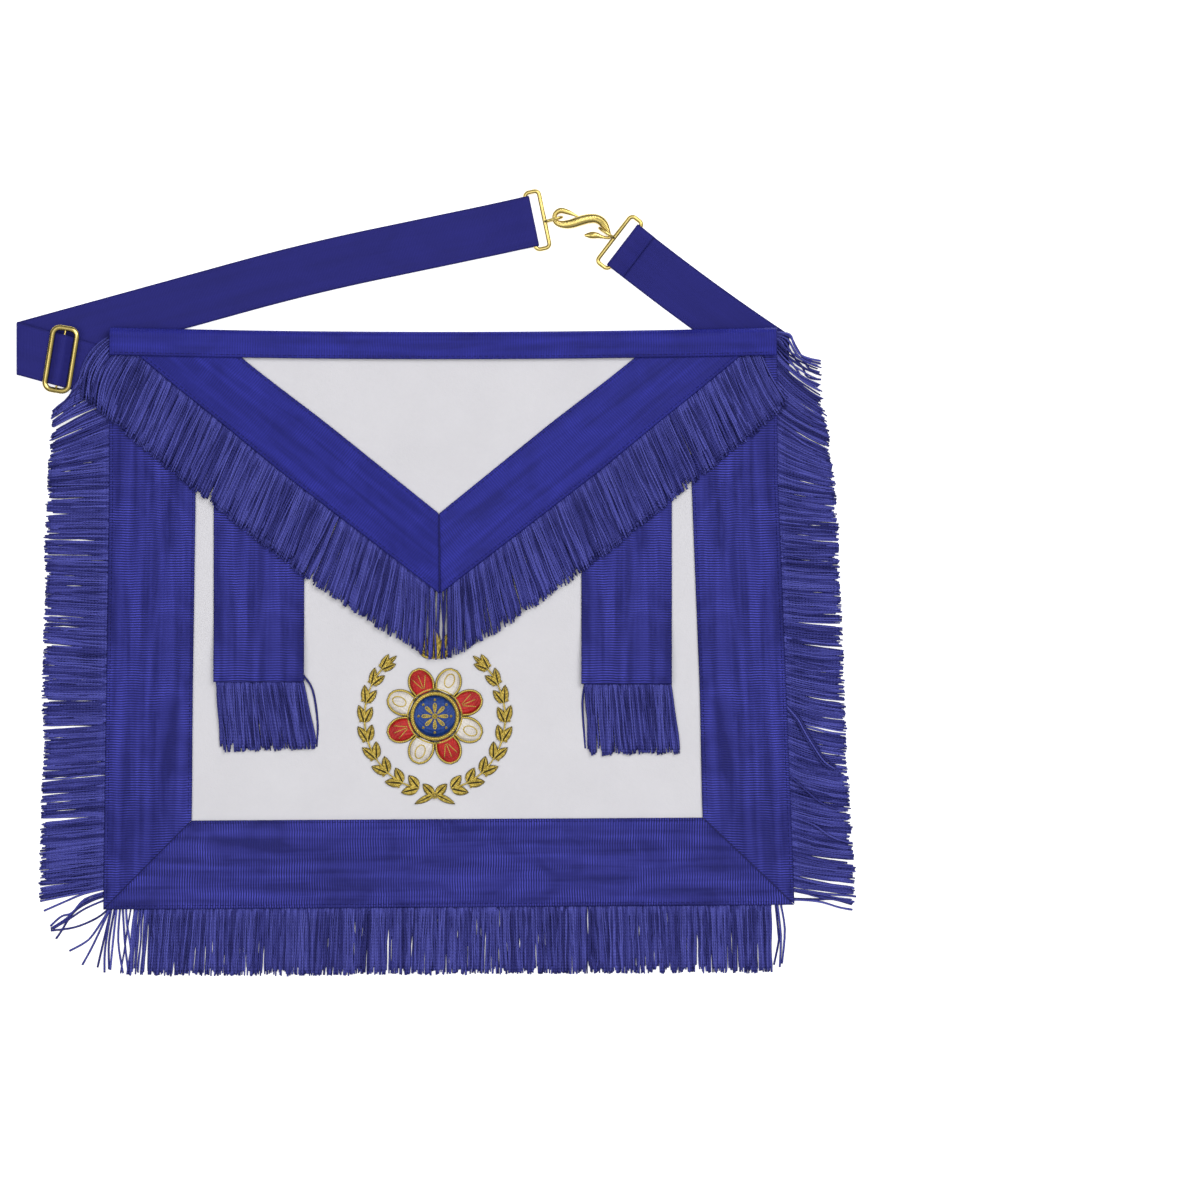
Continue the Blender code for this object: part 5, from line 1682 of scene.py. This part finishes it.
def make_wreath():
    """Two laurel branches: pairs of leaves with berries between them, on a roped stem."""
    for side, name in ((1, "right"), (-1, "left")):
        shape = Shape()
        for leaf in range(WREATH_LEAVES):
            foot, tip, berry = ((leaf + share) / WREATH_LEAVES for share in (0.05, 0.86, 1.12))
            reach = WREATH_LEAF * (1 - 0.35 * tip)
            for off in (-1, 1):
                base = wreath_point(side, foot, off * 0.35)
                end = wreath_point(side, tip, off * (reach - 0.2))
                lay_leaf(shape, base, end, 5.6 - 1.5 * tip, 0.85, float(leaf * 7 + off + 1))
            if leaf < WREATH_LEAVES - 1:
                for off in (-1, 1):
                    middle = wreath_point(side, berry, off * 2.9 * (1 - 0.3 * tip))
                    lay_bead(shape, middle, 0.8, 0.5)
        end = wreath_point(side, 1.02, 0)
        lay_leaf(shape, wreath_point(side, 0.93, 0), end, 2.6, 0.7, 90.0)
        stem = [wreath_point(side, 0.97 * i / 110, 0) for i in range(111)]
        lay_rope(shape, stem, 0.7, 0.9, 2.0)
        dress(shape.build("laurel_" + name, [GOLD, DARK]), "bullion", "emblem_wreath_" + name)


def make_bow():
    shape = Shape()
    for side in (-1, 1):
        knot = Vector((side * 0.8, -46.2))
        lay_leaf(shape, knot, Vector((side * 7.0, -39.9)), 5.2, 1.0, 10.0)
        lay_leaf(shape, knot, Vector((side * 11.8, -51.6)), 3.6, 0.9, 30.0)
    lay_bead(shape, Vector((0, -46.6)), 2.0, 1.1)
    dress(shape.build("ribbon_bow", [GOLD, DARK]), "bullion", "emblem_bow")
    shape = Shape()
    for tip, width, height in (
        (Vector((0.0, 55.4)), 6.4, 0.35),
        (Vector((7.4, 48.4)), 4.6, 0.3),
        (Vector((-7.4, 48.4)), 4.6, 0.3),
        (Vector((9.9, 38.8)), 4.0, 0.25),
        (Vector((-9.9, 38.8)), 4.0, 0.25),
    ):
        lay_leaf(shape, Vector((0.2 * tip.x, 34.6)), tip, width, height, tip.x + 20)
    bar = [Vector((x, 34.2 + 0.02 * x * x)) for x in spread(-3.4, 3.4, 0.4)]
    lay_line(shape, bar, 0.45, 0.5, 0)
    dress(shape.build("palm_finial", [GOLD, DARK]), "bullion", "emblem_finial")


# Camera, floor and light


def make_camera(scene):
    camera = bpy.data.cameras.new("camera")
    camera.sensor_width = SENSOR
    camera.lens = SENSOR * CAMERA_HEIGHT / (PICTURE_WIDTH * MM)
    camera.clip_end = 20
    view = bpy.data.objects.new("camera", camera)
    view.location = (CAMERA_X * MM, CAMERA_Y * MM, CAMERA_HEIGHT)
    scene.collection.objects.link(view)
    scene.camera = view


def make_floor():
    floor = Shape()
    corners = [Vector((x, y, 0)) * FLOOR_REACH for x, y in ((-1, -1), (1, -1), (1, 1), (-1, 1))]
    floor.add(corners, [(0, 1, 2, 3)], [(0, 0)] * 4)
    g = material_graph("studio_white")
    tone = g.noise(g.place(), 3.0, 2.0)
    g.set(Base_Color=g.ramp(tone, [(0.3, (0.985, 0.985, 0.985)), (0.7, (0.995, 0.995, 0.995))]))
    g.set(Roughness=0.9, Specular_IOR_Level=0.1)
    g.set(Emission_Color=(1.0, 1.0, 1.0, 1.0), Emission_Strength=FLOOR_GLOW)
    floor.build("floor", [g.owner])


def make_sky(scene):
    """A pale sky that darkens towards and below the horizon, so that the brass has dark sides."""
    world = bpy.data.worlds.new("studio")
    g = Graph(world, "Background")
    height = g.node("SeparateXYZ", Vector=g.node("TexCoord").outputs["Generated"])
    g.set(Color=g.ramp(height.outputs["Z"], SKY), Strength=SKY_STRENGTH)
    scene.world = world


def make_studio():
    scene = bpy.context.scene
    make_camera(scene)
    make_floor()
    make_sky(scene)
    for name, place, size, power in LAMPS:
        lamp = bpy.data.lights.new(name, "AREA")
        lamp.size = size
        lamp.energy = power
        light = bpy.data.objects.new(name, lamp)
        light.location = place
        light.rotation_euler = (-Vector(place)).to_track_quat("-Z", "Y").to_euler()
        scene.collection.objects.link(light)
    scene.view_settings.view_transform = "Standard"


def main():
    make_studio()
    borders = make_body()
    flap = make_flap()
    tabs = make_tabs()
    make_waistband()
    fringes = make_fringes()
    flap_fringes = make_flap_fringes()
    tab_fringes = make_tab_fringes()
    make_belts()
    make_stitches_and_seam_shade()
    make_hardware()
    make_medallion()
    make_petals()
    make_wreath()
    make_bow()


main()
